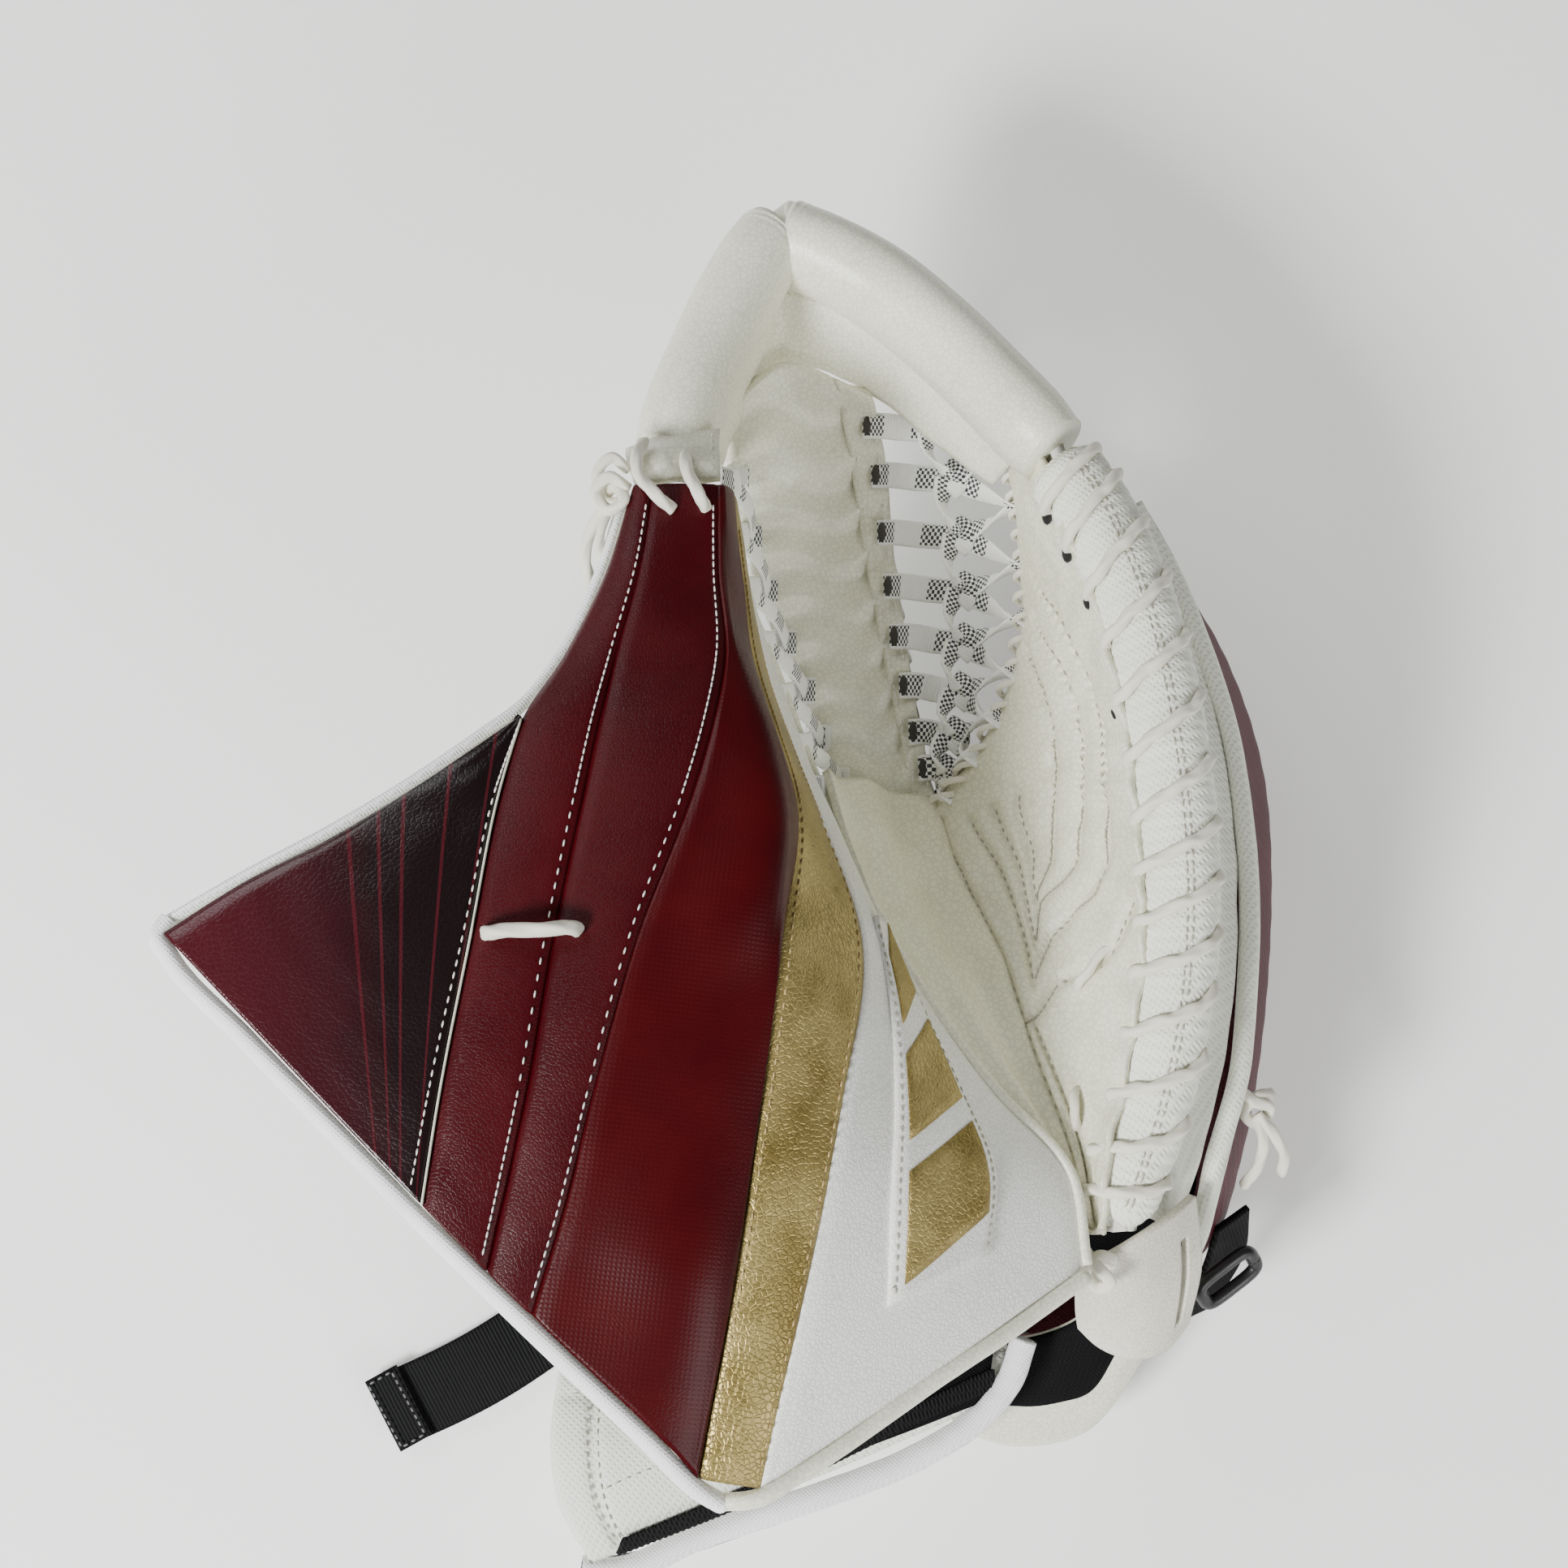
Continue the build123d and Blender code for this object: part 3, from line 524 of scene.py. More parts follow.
# ==== Emblem ===============================================================================
# Raised pearl leather patch with plain champagne bars, sewn to the white panel.
# Its two sides are given as places (across, along) on that panel.
EMBLEM_SIDES = [[(0.30, 0.60), (0.30, 0.68), (0.29, 0.76), (0.27, 0.84), (0.30, 0.92)],
                [(0.66, 0.60), (0.72, 0.68), (0.74, 0.76), (0.72, 0.84), (0.66, 0.92)]]
EMBLEM_BARS = [(0.05, 0.24), (0.32, 0.54), (0.62, 0.90)]
emblem_lines = [[surface([GOLD_R, LOW], a, b) for a, b in side] for side in EMBLEM_SIDES]
bm = bmesh.new()
skin(bm, emblem_lines, (24, 40),
     lambda across, along: 3.6 - 1.6 * math.exp(-(min(across, 1 - across) * 16) ** 2), 2.0)
fitted(bm, "emblem_patch_leather", STRIPE_LEATHER["cuff_white_panel"], "pearl_leather", "thumb_half",
       "emblem_patch")
bm = bmesh.new()
for low, high in EMBLEM_BARS:
    bar = [[surface(emblem_lines, a, low + (high - low) * k / 3 + slant) for k in range(4)]
           for a, slant in ((0.12, 0.06), (0.90, -0.03))]
    skin(bm, bar, (20, 8), lambda across, along: 4.3 - 0.5 * math.exp(-(min(across, 1 - across) * 14) ** 2),
         0.8)
fitted(bm, "emblem_bars_foil", STRIPE_LEATHER["cuff_gold_stripe"], "gold_leather", "thumb_half",
       "emblem_bars")
bm = bmesh.new()
for across in (-0.07, 0.05, 0.95):
    sewn(bm, face_up(emblem_lines, across, 2.9), 100, 0.02, 0.98, 2.6)
sewn(bm, lambda share: (surface(emblem_lines, share, 0.965) + Vector((0, 0, 3.4)), Vector((0, 0, 1))), 36,
     0.05, 0.95)
fitted(bm, "emblem_patch_stitches", shade_darkened_thread, "lace", "thumb_half")

# ==== Edge tape and piping of the cuff =====================================================
# Folded nylon tape over the slab's cut edges, and rolled leather piping where it meets the palm.
TAPE_LONG = [(-163.5, -16, 166), (-166, -21, 167), (-163, -26, 168), (-141, -48.5, 170), (-113, -76.5, 171),
             (-93, -96.5, 171), (-63, -125.5, 168), (-32, -155.5, 160), (-18, -169.5, 155),
             (-12, -173.5, 151)]
TAPE_TOP = [(-163.5, -16, 165), (-142, -3.5, 166), (-121, 8, 165.5), (-99, 22, 163), (-80, 36, 160),
            (-69, 45, 157), (-59, 60, 151), (-48, 86, 145), (-42, 108, 141)]
PIPE = [(-14, -173, 152), (-3, -172, 153.5), (10, -165.5, 149), (46, -143.5, 133), (70, -129.5, 121.5),
        (93, -115, 110)]
white_tape = cloth_material("white_nylon_tape", "#E2E3E3", "#F8F9F9", 0.9, 0.7, 0.5)
bm = bmesh.new()
tube(bm, TAPE_LONG, 5.6, 8.6, 14, 150)
tube(bm, TAPE_TOP, 3.4, 9.0, 12, 110)
fitted(bm, "cuff_edge_tape", white_tape, "white_nylon", "thumb_half", "cuff_binding")
bm = bmesh.new()
tube(bm, PIPE, 5.0, 5.4, 12, 80, shape=lambda s, a: 1 + 0.03 * noise.noise(Vector((s * 25, a, 3))))
tube(bm, [(x + 0.4, y, z - 1.6) for x, y, z in LOW[1:]], 3.4, 4.2, 12, 110)
fitted(bm, "cuff_piping_leather", white_leather, "white_piping", "thumb_half", "cuff_piping")


# ==== Round laces of the thumb =============================================================
# Twisted waxed lace, 4 mm thick: the staple over line 2 and the tie at the thumb's tip.
lace_cotton = cotton("white_waxed_lace", "#E3E0D0", 0.6)
LACE = 3.6


def lace(bm, points, thick=LACE, rings=None):
    """A three-strand twisted lace along the points."""
    points = [Vector(p) for p in points]
    run = sum((b - a).length for a, b in zip(points, points[1:]))
    way = (points[1] - points[0]).normalized()
    up = (0, 0, 1) if abs(way.z) < 0.8 else (1, 0, 0)
    tube(bm, points, thick, thick, 15, rings or max(12, int(run / 0.8)), up, lobes=3, lobe=0.13,
         turn_mm=thick * 3.2)


bm = bmesh.new()
lace(bm, [(-75, -20.5, 174), (-74.6, -20.5, 179.5), (-71, -20.4, 181.8), (-63, -20, 182.2),
          (-55, -19.6, 182.2), (-51.4, -19.5, 180.4), (-51, -19.5, 175)], 4.0)
fitted(bm, "cuff_tie_lace_twisted", lace_cotton, "lace", "thumb_half", "cuff_tie_lace")

bm = bmesh.new()
lace(bm, [(-36, 126, 141), (-37.5, 120, 148), (-36, 112, 153), (-31, 106, 155.5), (-27, 103, 152)])
lace(bm, [(-24, 123, 139), (-23, 116, 150), (-21, 110, 154.5), (-18.5, 105.5, 154), (-17.5, 103.5, 150)])
lace(bm, [(-40, 116, 147), (-44.5, 119, 150), (-49, 114, 149), (-47, 107, 147), (-42, 106, 148)], 3.2)
fitted(bm, "thumb_tip_lace_twisted", lace_cotton, "lace", "thumb_half", "thumb_tip_lace")
bm = bmesh.new()
lace(bm, [(-40, 110, 148), (-45, 113, 151), (-49.5, 109, 149), (-46, 104, 148), (-41, 106, 150),
          (-44, 111, 147), (-49, 106, 144)], 3.4)
lace(bm, [(-46, 106, 146), (-50, 101, 143), (-53, 94, 138), (-52, 87, 133), (-50.5, 82, 129)], 3.4)
lace(bm, [(-45, 106, 147), (-47.5, 99, 146.5), (-48, 92, 145), (-46, 88, 143)], 2.6)
fitted(bm, "thumb_tip_knot_twisted", lace_cotton, "lace", "thumb_half", "thumb_tip_knot")

# ==== T of the pocket ======================================================================
# One stuffed roll of white leather, bent to a point at the peak, where it creases as it folds.
T_PATH = [(-29, 127, 122), (-24, 145, 118), (-17, 164, 113), (-8.5, 183, 109), (-1.5, 195.5, 106),
          (3, 200.5, 104), (11, 198, 104.5), (30, 188, 106), (52, 169, 110), (71, 148, 114),
          (86, 130, 118)]
T_WIDE, T_TALL = 25.0, 31.0
T_PEAK = 0.5
T_RINGS = 190
FOLD_HEEL, FOLD_PEAK = Vector((94, -107, 100)), Vector((3, 199, 105))
fold_right = Vector((0, 0, 1)).cross((FOLD_HEEL - FOLD_PEAK).normalized())


def across_fold(piece):
    """Bakes the piece's transform into its mesh."""
    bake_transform(piece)


def t_shape(share, angle):
    """Fullness of the T: a deep crease at the peak with small puckers beside it, slimmer ends."""
    off = share - T_PEAK
    crease = 0.22 * math.exp(-(off / 0.03) ** 2) + 0.25 * math.exp(-(off / 0.008) ** 2)
    crease *= 0.5 + 0.5 * math.sin(angle)
    pucker = 0.035 * math.cos(off * 260) * math.exp(-(off / 0.055) ** 2)
    soft = 0.025 * noise.noise(Vector((share * 9, math.cos(angle), math.sin(angle))))
    ends = 0.10 * math.exp(-(min(share, 1 - share) / 0.03) ** 2)
    return 1 - crease + pucker + soft - ends


bm = bmesh.new()
tube(bm, T_PATH, T_WIDE, T_TALL, 40, T_RINGS, shape=t_shape)
t_roll = fitted(bm, "t_roll_leather", white_leather, "white_leather", None, "t_roll_left", "t_roll_right")
across_fold(t_roll)

# Leather band that lines the inside of the T, and the piping along its upper seam.
LINING_TOP = [(-17, 131, 113), (-14, 148, 109), (-8.5, 166, 105), (-3, 181, 102), (3, 190, 100),
              (12, 188, 100), (28, 179.5, 102), (46, 164, 104), (64, 146, 106), (76, 131, 108)]
LINING_LOW = [(-15, 131, 89), (-11, 142, 86), (-6, 154, 84), (-1, 163, 82), (4, 168, 81), (12, 168, 80),
              (24, 164, 79), (38, 155, 79), (54, 140, 83), (70, 127, 87)]
bm = bmesh.new()
skin(bm, [LINING_TOP, LINING_LOW], (12, 110),
     lambda across, along: 0.6 * noise.noise(Vector((along * 16, across * 3, 5))) - 0.5 * abs(across - 0.5),
     2.0)
tube(bm, LINING_TOP, 3.0, 3.0, 10, 110)
for share in range(3, 26):
    here, up = face_up([LINING_TOP, LINING_LOW], 0.16, 0.9)(share / 28)
    ahead, _ = face_up([LINING_TOP, LINING_LOW], 0.16, 0.9)(share / 28 + 0.01)
    stitch(bm, here * MM, (ahead - here).normalized(), up, 2.6 * MM, 0.4 * MM)
t_lining = fitted(bm, "t_lining_leather", white_leather, "white_leather", None, "t_lining_left",
                  "t_lining_right")
across_fold(t_lining)

# Tab on the T's left end, sewn round its edge, that the tip lace ties down.
TAB = [[(-42, 127, 131), (-41, 121, 140), (-38.5, 113.5, 143.5)],
       [(-28, 131, 134), (-27.5, 124, 141), (-26, 114, 145)],
       [(-14, 133, 131), (-14, 125, 138), (-13.5, 115, 142.5)]]
bm = bmesh.new()
skin(bm, TAB, (22, 16), lambda across, along: 0.6 * math.cos(math.tau * across * 2) * along, 2.4)
for across, start, stop in ((0.08, 0.1, 0.92), (0.92, 0.1, 0.92)):
    sewn(bm, face_up(TAB, across, 0.2), 18, start, stop, 2.6)
fitted(bm, "t_end_tab", white_leather, "white_leather", "thumb_half", "t_tab_left")

# ==== Web spine ============================================================================
# Wide white leather band from the T down to the palm, puckered where the net laces pull on it.
SPINE = [[(-15, 147, 88), (-11, 125, 77), (-6, 106, 68), (2, 86, 61), (10, 65, 57), (16, 47, 56),
          (24, 26, 60)],
         [(4, 167, 88), (11, 132, 67), (16, 112, 59), (22, 90, 54), (28, 68, 51), (33, 48, 50),
          (38, 22, 57)],
         [(33, 159, 79), (38, 138, 64), (40, 117, 59), (43, 96, 55.5), (46, 75, 53.5), (49, 58, 52.5),
          (54, 28, 55)]]
NET_ROWS = 8


def spine_relief(across, along):
    """Crowned band with a pucker at each row of net laces, deepest at its edges."""
    pull = abs(2 * across - 1)
    pucker = math.cos(math.tau * (along * (NET_ROWS + 1) + 0.25 * math.sin(across * 7)))
    soft = 0.6 * noise.noise(Vector((across * 3, along * 10, 1)))
    return 2.4 * (1 - pull ** 2) + (0.5 + 1.5 * pull) * pucker + soft


bm = bmesh.new()
skin(bm, SPINE, (46, 150), spine_relief, 3.2)
fitted(bm, "web_spine_leather", white_leather, "white_leather", "web", "web_spine")
bm = bmesh.new()
BAND = [[surface(SPINE, 0.80, k / 8) for k in range(9)], [surface(SPINE, 1.0, k / 8) for k in range(9)]]
skin(bm, BAND, (8, 120), lambda across, along: 1.9 + spine_relief(0.9, along) * 0.6, 1.8)
fitted(bm, "web_spine_edge_band", white_leather, "white_leather", "web", "spine_edge_band")
bm = bmesh.new()
for across in (0.2, 0.8):
    sewn(bm, face_up(BAND, across, 3.0), 130, 0.04, 0.96)
fitted(bm, "spine_band_stitches", white_thread, "lace", "web")

# ==== Net ==================================================================================
# Flat woven skate lace, 9 mm wide, white with small dark checks: one row of straight runs from the
# spine to a knot and a V from the knot to the palm edge; short runs on the thumb's side.
LACE_WIDE, LACE_FLAT = 8.6, 1.7


def net_lace():
    """Woven flat lace: fine ribs and rows of dark checks down its middle, set out on its length in mm."""
    material, tree = new_material("white_check_skate_lace")
    place = add_node(tree, "UVMap").outputs["UV"]
    parts = add_node(tree, "SeparateXYZ", {"Vector": place})
    ribs = add_node(tree, "TexWave", {"Vector": place, "Scale": 1000 / 0.9 / 3.18, "Distortion": 0.4},
                    bands_direction="X")
    checks = add_node(tree, "TexChecker", {"Vector": place, "Scale": 1000 / 0.8})
    group = add_node(tree, "Math", {0: parts.outputs["X"], 1: 1000 / 17.0}, operation="MULTIPLY")
    share = add_node(tree, "Math", {0: group}, operation="FRACT")
    where = add_node(tree, "Math", {0: share, 1: 0.5}, operation="LESS_THAN")
    round_mm = (LACE_WIDE + LACE_FLAT) * 1.6
    half = add_node(tree, "Math", {0: parts.outputs["Y"], 1: 1000 / round_mm * 2}, operation="MULTIPLY")
    over = add_node(tree, "Math", {0: half}, operation="FRACT")
    off = add_node(tree, "Math", {0: over, 1: 0.5}, operation="SUBTRACT")
    middle = add_node(tree, "Math", {0: off}, operation="ABSOLUTE")
    inside = add_node(tree, "Math", {0: middle, 1: 0.3}, operation="LESS_THAN")
    both = add_node(tree, "Math", {0: where, 1: inside}, operation="MULTIPLY")
    dark = add_node(tree, "Math", {0: both, 1: checks.outputs["Fac"]}, operation="MULTIPLY")
    tone = add_node(tree, "Mix", {0: dark, 6: hex_colour("#F8F8F4"), 7: hex_colour("#33333A")},
                    data_type="RGBA")
    bump = add_node(tree, "Bump", {"Height": ribs.outputs["Fac"], "Strength": 0.5, "Distance": 0.0003})
    shaded(tree, {"Base Color": tone.outputs[2], "Roughness": 0.72, "Normal": bump,
                  "Sheen Weight": 0.2, "IOR": 1.5})
    return material


checked_lace = net_lace()
NET_SPINE = [(36, 150, 74), (39, 136, 66), (41, 118, 62), (43, 101, 59), (45, 85, 57), (48, 69, 56),
             (51, 54, 55), (54, 42, 56)]
NET_PALM = [(61, 155, 86), (74, 139, 87), (79, 121, 85), (80.5, 103, 82), (79.5, 86, 79), (76, 70, 75),
            (70, 56, 71), (63, 44, 66), (55, 32, 60)]


def fold_weight(spot):
    """A weight at a point of the palm: 0.5 on the break line, falling by one for each 60 mm to its right,
    held between 0 and 0.45.
    """
    return min(max(0.5 - (Vector(spot) - FOLD_PEAK).dot(fold_right) / 60, 0.0), 0.45)


for row, (spine_end, palm_a, palm_b) in enumerate(zip(NET_SPINE, NET_PALM, NET_PALM[1:])):
    start, left, right = Vector(spine_end), Vector(palm_a), Vector(palm_b)
    knot = start.lerp((left + right) / 2, 0.52) + Vector((0, 0, -2.5))
    bm = bmesh.new()
    tube(bm, [start + Vector((-6, 0, 1)), start + Vector((0, 0, 1)),
              start.lerp(knot, 0.5) + Vector((0, 0, -1)), knot], LACE_WIDE, LACE_FLAT, 12, 30)
    tube(bm, [knot, knot.lerp(left, 0.5) + Vector((0, 0, -1.5)), left, left + Vector((4, 1, 2))],
         LACE_WIDE - 1.2, LACE_FLAT, 12, 36, turns=0.5)
    tube(bm, [knot + Vector((0, 0, 0.8)), knot.lerp(right, 0.5) + Vector((0, 0, -1)), right,
              right + Vector((4, -1, 2))], LACE_WIDE - 1.2, LACE_FLAT, 12, 36, turns=-0.5)
    if row < len(NET_SPINE) - 1:
        after = Vector(NET_SPINE[row + 1])
        next_knot = after.lerp((Vector(NET_PALM[row + 1]) + Vector(NET_PALM[row + 2])) / 2, 0.52)
        tube(bm, [knot + Vector((-2, 0, 1.8)), knot.lerp(next_knot, 0.5) + Vector((-4.5, 0, 0.6)),
                  next_knot + Vector((-1, 0, 0.2))], LACE_WIDE - 1.6, LACE_FLAT, 12, 30, turns=0.35)
    tube(bm, [knot + Vector((-1.5, 4.5, 0.4)), knot + Vector((1.5, 2, 2.4)), knot + Vector((2.2, -2, 2.4)),
              knot + Vector((-0.5, -4.5, 0.4))], 6.2, 2.2, 12, 18)
    run = fitted(bm, f"net_row_right_{row}", checked_lace, "net_lace", None, "web_net_right")
    palm_side = (left + right) / 2
    first = start + (palm_side - start) * 0.5 / (0.5 - fold_weight(palm_side))
    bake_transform(run)

# Dark ellipsoids in the spine's lace slots: painted shade inside the slots.
bm = bmesh.new()
for x, y, z in NET_SPINE:
    bmesh.ops.create_icosphere(bm, subdivisions=2, radius=1.0, matrix=Matrix.Translation(
        Vector((x - 4.5, y, z + 1.2)) * MM) @ Matrix.Diagonal((1.5 * MM, 3.6 * MM, 1.4 * MM, 1.0)))
fitted(bm, "spine_lace_slots", cotton("lace_slot_shade", "#3A3834", 0.9), "lace", "web")

NET_THUMB = [(-11, 124, 104), (-9, 108, 101), (-6, 92, 96), (-2, 76, 91), (4, 60, 89), (10, 44, 91),
             (17, 30, 95)]
NET_SPINE_L = [(-12, 131, 80), (-8, 114, 73), (-3, 98, 66), (3, 82, 61), (9, 67, 58), (14, 52, 56),
               (20, 38, 56)]
for row, (thumb_end, spine_end) in enumerate(zip(NET_THUMB, NET_SPINE_L)):
    high, low = Vector(thumb_end), Vector(spine_end)
    bm = bmesh.new()
    tube(bm, [high + Vector((-3, 0, 2)), high, high.lerp(low, 0.5) + Vector((2, 0, -1)),
              low + Vector((0, 0, 1.5)), low + Vector((6, 0, 1))], LACE_WIDE, LACE_FLAT, 12, 34, up=(1, 0, 1))
    if row:
        above = Vector(NET_THUMB[row - 1])
        tube(bm, [above, above.lerp(low, 0.5) + Vector((4, 0, -1)), low + Vector((3, 0, 2.2))],
             LACE_WIDE - 2.5, LACE_FLAT, 12, 26, up=(1, 0, 1))
    run = fitted(bm, f"net_row_left_{row}", checked_lace, "net_lace", None, "web_net_left")
    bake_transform(run)

# ==== Palm =================================================================================
# Soft white palm leather from the slab's low edge over the pocket floor up to the roll, laced along
# the roll, with nested rows of quilting stitches over the foam.
PALM = [[(74, 141, 88), (79, 120, 84), (80.5, 96, 80), (77, 70, 74), (66, 46, 66), (52, 29, 57),
         (59, 5, 69), (70, -20, 83), (79.5, -50, 93), (90, -82, 102), (95, -103, 102)],
        [(77.5, 137, 103), (80.5, 116, 104), (87, 94, 104), (91, 69, 100), (88, 46, 90), (80, 27, 78),
         (82, 5, 82), (87, -20, 90), (91, -50, 98), (96, -82, 103), (98, -103, 102)],
        [(81, 133, 118), (88, 111, 122), (97, 84, 125), (103, 58, 127), (106, 40, 127.5), (108, 20, 127),
         (110, -2, 125), (110, -25, 121.5), (106, -52, 116), (100.5, -82, 110), (99, -103, 104)]]
GUSSET = [[(18, 36, 95), (27, 5, 106), (38, -20, 111), (58, -50, 110.5), (84, -82, 108.5),
           (92, -106, 108)],
          [(33, 36, 71), (41, 5, 84), (54, -20, 93), (70, -50, 100), (87, -82, 103.5), (93, -104, 103.5)],
          [(54, 32, 56), (63, 5, 68), (74, -20, 82), (82, -50, 91.5), (91.5, -82, 100.5),
           (96, -103, 100.5)]]
NET_EDGE = PALM[0][:6]
LOOPS = 14

# Rows of quilting and seams on the palm, as (across, along) places: three nested Vs whose right
# arms run up beside the net, the seam up to the roll, the seam down to the heel, the fold's rib.
QUILTING = [[(0.22, 0.19), (0.75, 0.34), (0.86, 0.5), (0.84, 0.575), (0.62, 0.65), (0.25, 0.73)],
            [(0.25, 0.73), (0.31, 0.62), (0.22, 0.52)],
            [(0.18, 0.24), (0.62, 0.37), (0.74, 0.5), (0.70, 0.57), (0.52, 0.63), (0.36, 0.685)],
            [(0.36, 0.685), (0.42, 0.6), (0.34, 0.5)],
            [(0.14, 0.28), (0.50, 0.40), (0.61, 0.5), (0.58, 0.57), (0.48, 0.635)],
            [(0.48, 0.635), (0.51, 0.56), (0.45, 0.48)],
            [(0.05, 0.77), (0.18, 0.765), (0.45, 0.735), (0.85, 0.68), (0.95, 0.62)],
            [(0.15, 0.77), (0.25, 0.84), (0.30, 0.91), (0.30, 0.98)],
            [(0.06, 0.52), (0.06, 0.62), (0.05, 0.75), (0.06, 0.9)]]
QUILTING_MM = [150, 52, 128, 42, 105, 34, 60, 58, 95]
PALM_ACROSS, PALM_ALONG = 66, 268
sewn_spots = [smooth([(a * PALM_ACROSS, b * PALM_ALONG, 0) for a, b in row], k / 60) for row in QUILTING
              for k in range(61)]


def palm_relief(across, along):
    """Soft swells and the quilting's grooves, with a pucker below each lace hole on the roll's side."""
    pull = math.exp(-((1 - across) / 0.16) ** 2)
    here = Vector((across * PALM_ACROSS, along * PALM_ALONG, 0))
    swell = 1.6 * noise.noise(here * 0.035) + 0.6 * noise.noise(here * 0.1)
    near = min((here - spot).length_squared for spot in sewn_spots)
    holes = 0.7 * pull * math.cos(math.tau * (along - 0.075) / 0.86 * (LOOPS - 1))
    return swell + 1.4 + holes - 2.0 * math.exp(-near / 3.6) - 1.2 * math.exp(-(across / 0.03) ** 2)


def gusset_relief(across, along):
    """Folds that run down the gusset beside the break line."""
    return 1.3 * math.cos(math.tau * (across * 2.1 + 0.25 * along)) + 0.8 * noise.noise(
        Vector((across * 4, along * 7, 9))) - 0.6


bm = bmesh.new()
skin(bm, PALM, (90, 300), palm_relief, 2.4)
skin(bm, GUSSET, (50, 110), gusset_relief, 2.4)
palm_white = leather("white_palm_leather", "#DDDCC3", "#EAE9D3", 2.2, 0.4, 0.10, 0.05, 0.0, 30.0, 0.5)
palm = fitted(bm, "palm_leather_cover", palm_white, "white_leather", None, "palm_leather", "thumb_gusset")
across_fold(palm)


def palm_line(places):
    """Runs over the lower palm through (across, along) places."""
    def spot_at(share):
        spot = smooth([(a, b, 0) for a, b in places], share)
        here = surface(PALM, spot.x, spot.y)
        right = surface(PALM, min(spot.x + 0.02, 1), spot.y) - surface(PALM, max(spot.x - 0.02, 0), spot.y)
        ahead = surface(PALM, spot.x, min(spot.y + 0.02, 1)) - surface(PALM, spot.x, max(spot.y - 0.02, 0))
        up = right.cross(ahead).normalized()
        up = up if up.z > 0 else -up
        return here + up * (palm_relief(spot.x, spot.y) + 0.2), up
    return spot_at


bm = bmesh.new()
for row, run_mm in zip(QUILTING, QUILTING_MM):
    sewn(bm, palm_line(row), run_mm, 0.01, 0.99, 2.7)
palm_stitches = fitted(bm, "palm_quilting_stitches", shade_darkened_thread, "lace")
across_fold(palm_stitches)

# Foam under the palm leather.
foam_white = cloth_material("white_closed_foam", "#C9C7C0", "#DAD8D2", 1.6, 0.85, 0.2, 0.0)
bm = bmesh.new()
skin(bm, PALM, (30, 90), lambda across, along: -3.4, 4.4)
foam = fitted(bm, "palm_foam_sheet", foam_white, "foam_board", "hand_half", "palm_foam")

# Whip lace along the net's edge of the palm, and the two ties through its seams.
bm = bmesh.new()
for row in range(18):
    share = 0.03 + 0.92 * row / 17
    here = smooth(NET_EDGE, share)
    out = (smooth(PALM[1][:6], share) - here).normalized()
    ahead = (smooth(NET_EDGE, min(share + 0.02, 1)) - here).normalized()
    up = out.cross(ahead).normalized()
    up = up if up.z > 0 else -up
    lace(bm, [here + out * 5 + up * 0.5, here + out * 4 + up * 2.6 + ahead * 1,
              here + up * 2.8 + ahead * 2.6,
              here - out * 1.6 + ahead * 3.6 + up * 0.6, here - out * 0.4 - up * 2 + ahead * 4.4], 1.9, 16)
whip = fitted(bm, "palm_edge_whip_lace", lace_cotton, "lace")
across_fold(whip)
bm = bmesh.new()
for places in ([(0.62, 0.735), (0.72, 0.715), (0.80, 0.685)], [(0.30, 0.87), (0.42, 0.855), (0.5, 0.835)]):
    spots = [palm_line(places)(share) for share in (0.0, 0.12, 0.5, 0.88, 1.0)]
    lifts = (-1.5, 1.4, 2.4, 1.4, -1.5)
    lace(bm, [here + up * lift for (here, up), lift in zip(spots, lifts)], 2.8)
fitted(bm, "palm_seam_ties", lace_cotton, "lace", "hand_half", "palm_ties")

# ==== Perimeter roll =======================================================================
# Stuffed roll of white twill nylon round the little-finger side, whipped to the palm with lace.
ROLL = [(88, 126, 113), (94, 118, 115), (104, 97, 119), (112, 72, 121), (117, 45, 121.5), (120, 18, 120.5),
        (121, -5, 117.5), (120, -28, 112.5), (115.5, -56, 106), (108, -82, 98), (102, -99, 93)]
ROLL_WIDE = 25.0
ROLL_LENGTH = 262
LOOP_SHARES = [0.075 + 0.86 * i / (LOOPS - 1) for i in range(LOOPS)]
LOOP_SKEW = 17.0


def roll_shape(share, angle):
    """The roll pinched under each loop of lace, wrinkled between, slimmer at both ends."""
    lean = LOOP_SKEW / ROLL_LENGTH * (min((math.degrees(angle) - 12) / 152, 1.2) - 0.5)
    pinch = sum(math.exp(-((share + lean - at) / 0.009) ** 2) for at in LOOP_SHARES)
    ends = 0.28 * math.exp(-(share / 0.02) ** 2) + 0.3 * math.exp(-((1 - share) / 0.025) ** 2)
    soft = 0.03 * noise.noise(Vector((share * 22, math.cos(angle) * 1.5, math.sin(angle) * 1.5)))
    wrinkle = 0.012 * math.cos(share * 420 + 3 * math.sin(angle))
    return 1.0 - 0.085 * pinch - ends + soft + wrinkle


white_twill = cloth_material("white_twill_nylon", "#DADBCF", "#EFF0E6", 1.5, 0.62, 0.7)
bm = bmesh.new()
tube(bm, ROLL, ROLL_WIDE, ROLL_WIDE, 44, 320, shape=roll_shape)
roll = fitted(bm, "perimeter_roll_twill", white_twill, "white_nylon", "hand_half", "perimeter_roll")

ROLL_RINGS = 320
roll_frames = framed(ROLL, ROLL_RINGS)


def round_roll(share, degrees, lift=0.0):
    """Point on the roll's skin: 0 degrees faces the palm, 90 up, 180 the backhand."""
    centre, side, top = roll_frames[min(max(round(share * ROLL_RINGS), 0), ROLL_RINGS)]
    angle = math.radians(degrees)
    out = side * math.cos(angle) + top * math.sin(angle)
    return centre + out * (ROLL_WIDE / 2 * roll_shape(share, angle) + lift), out


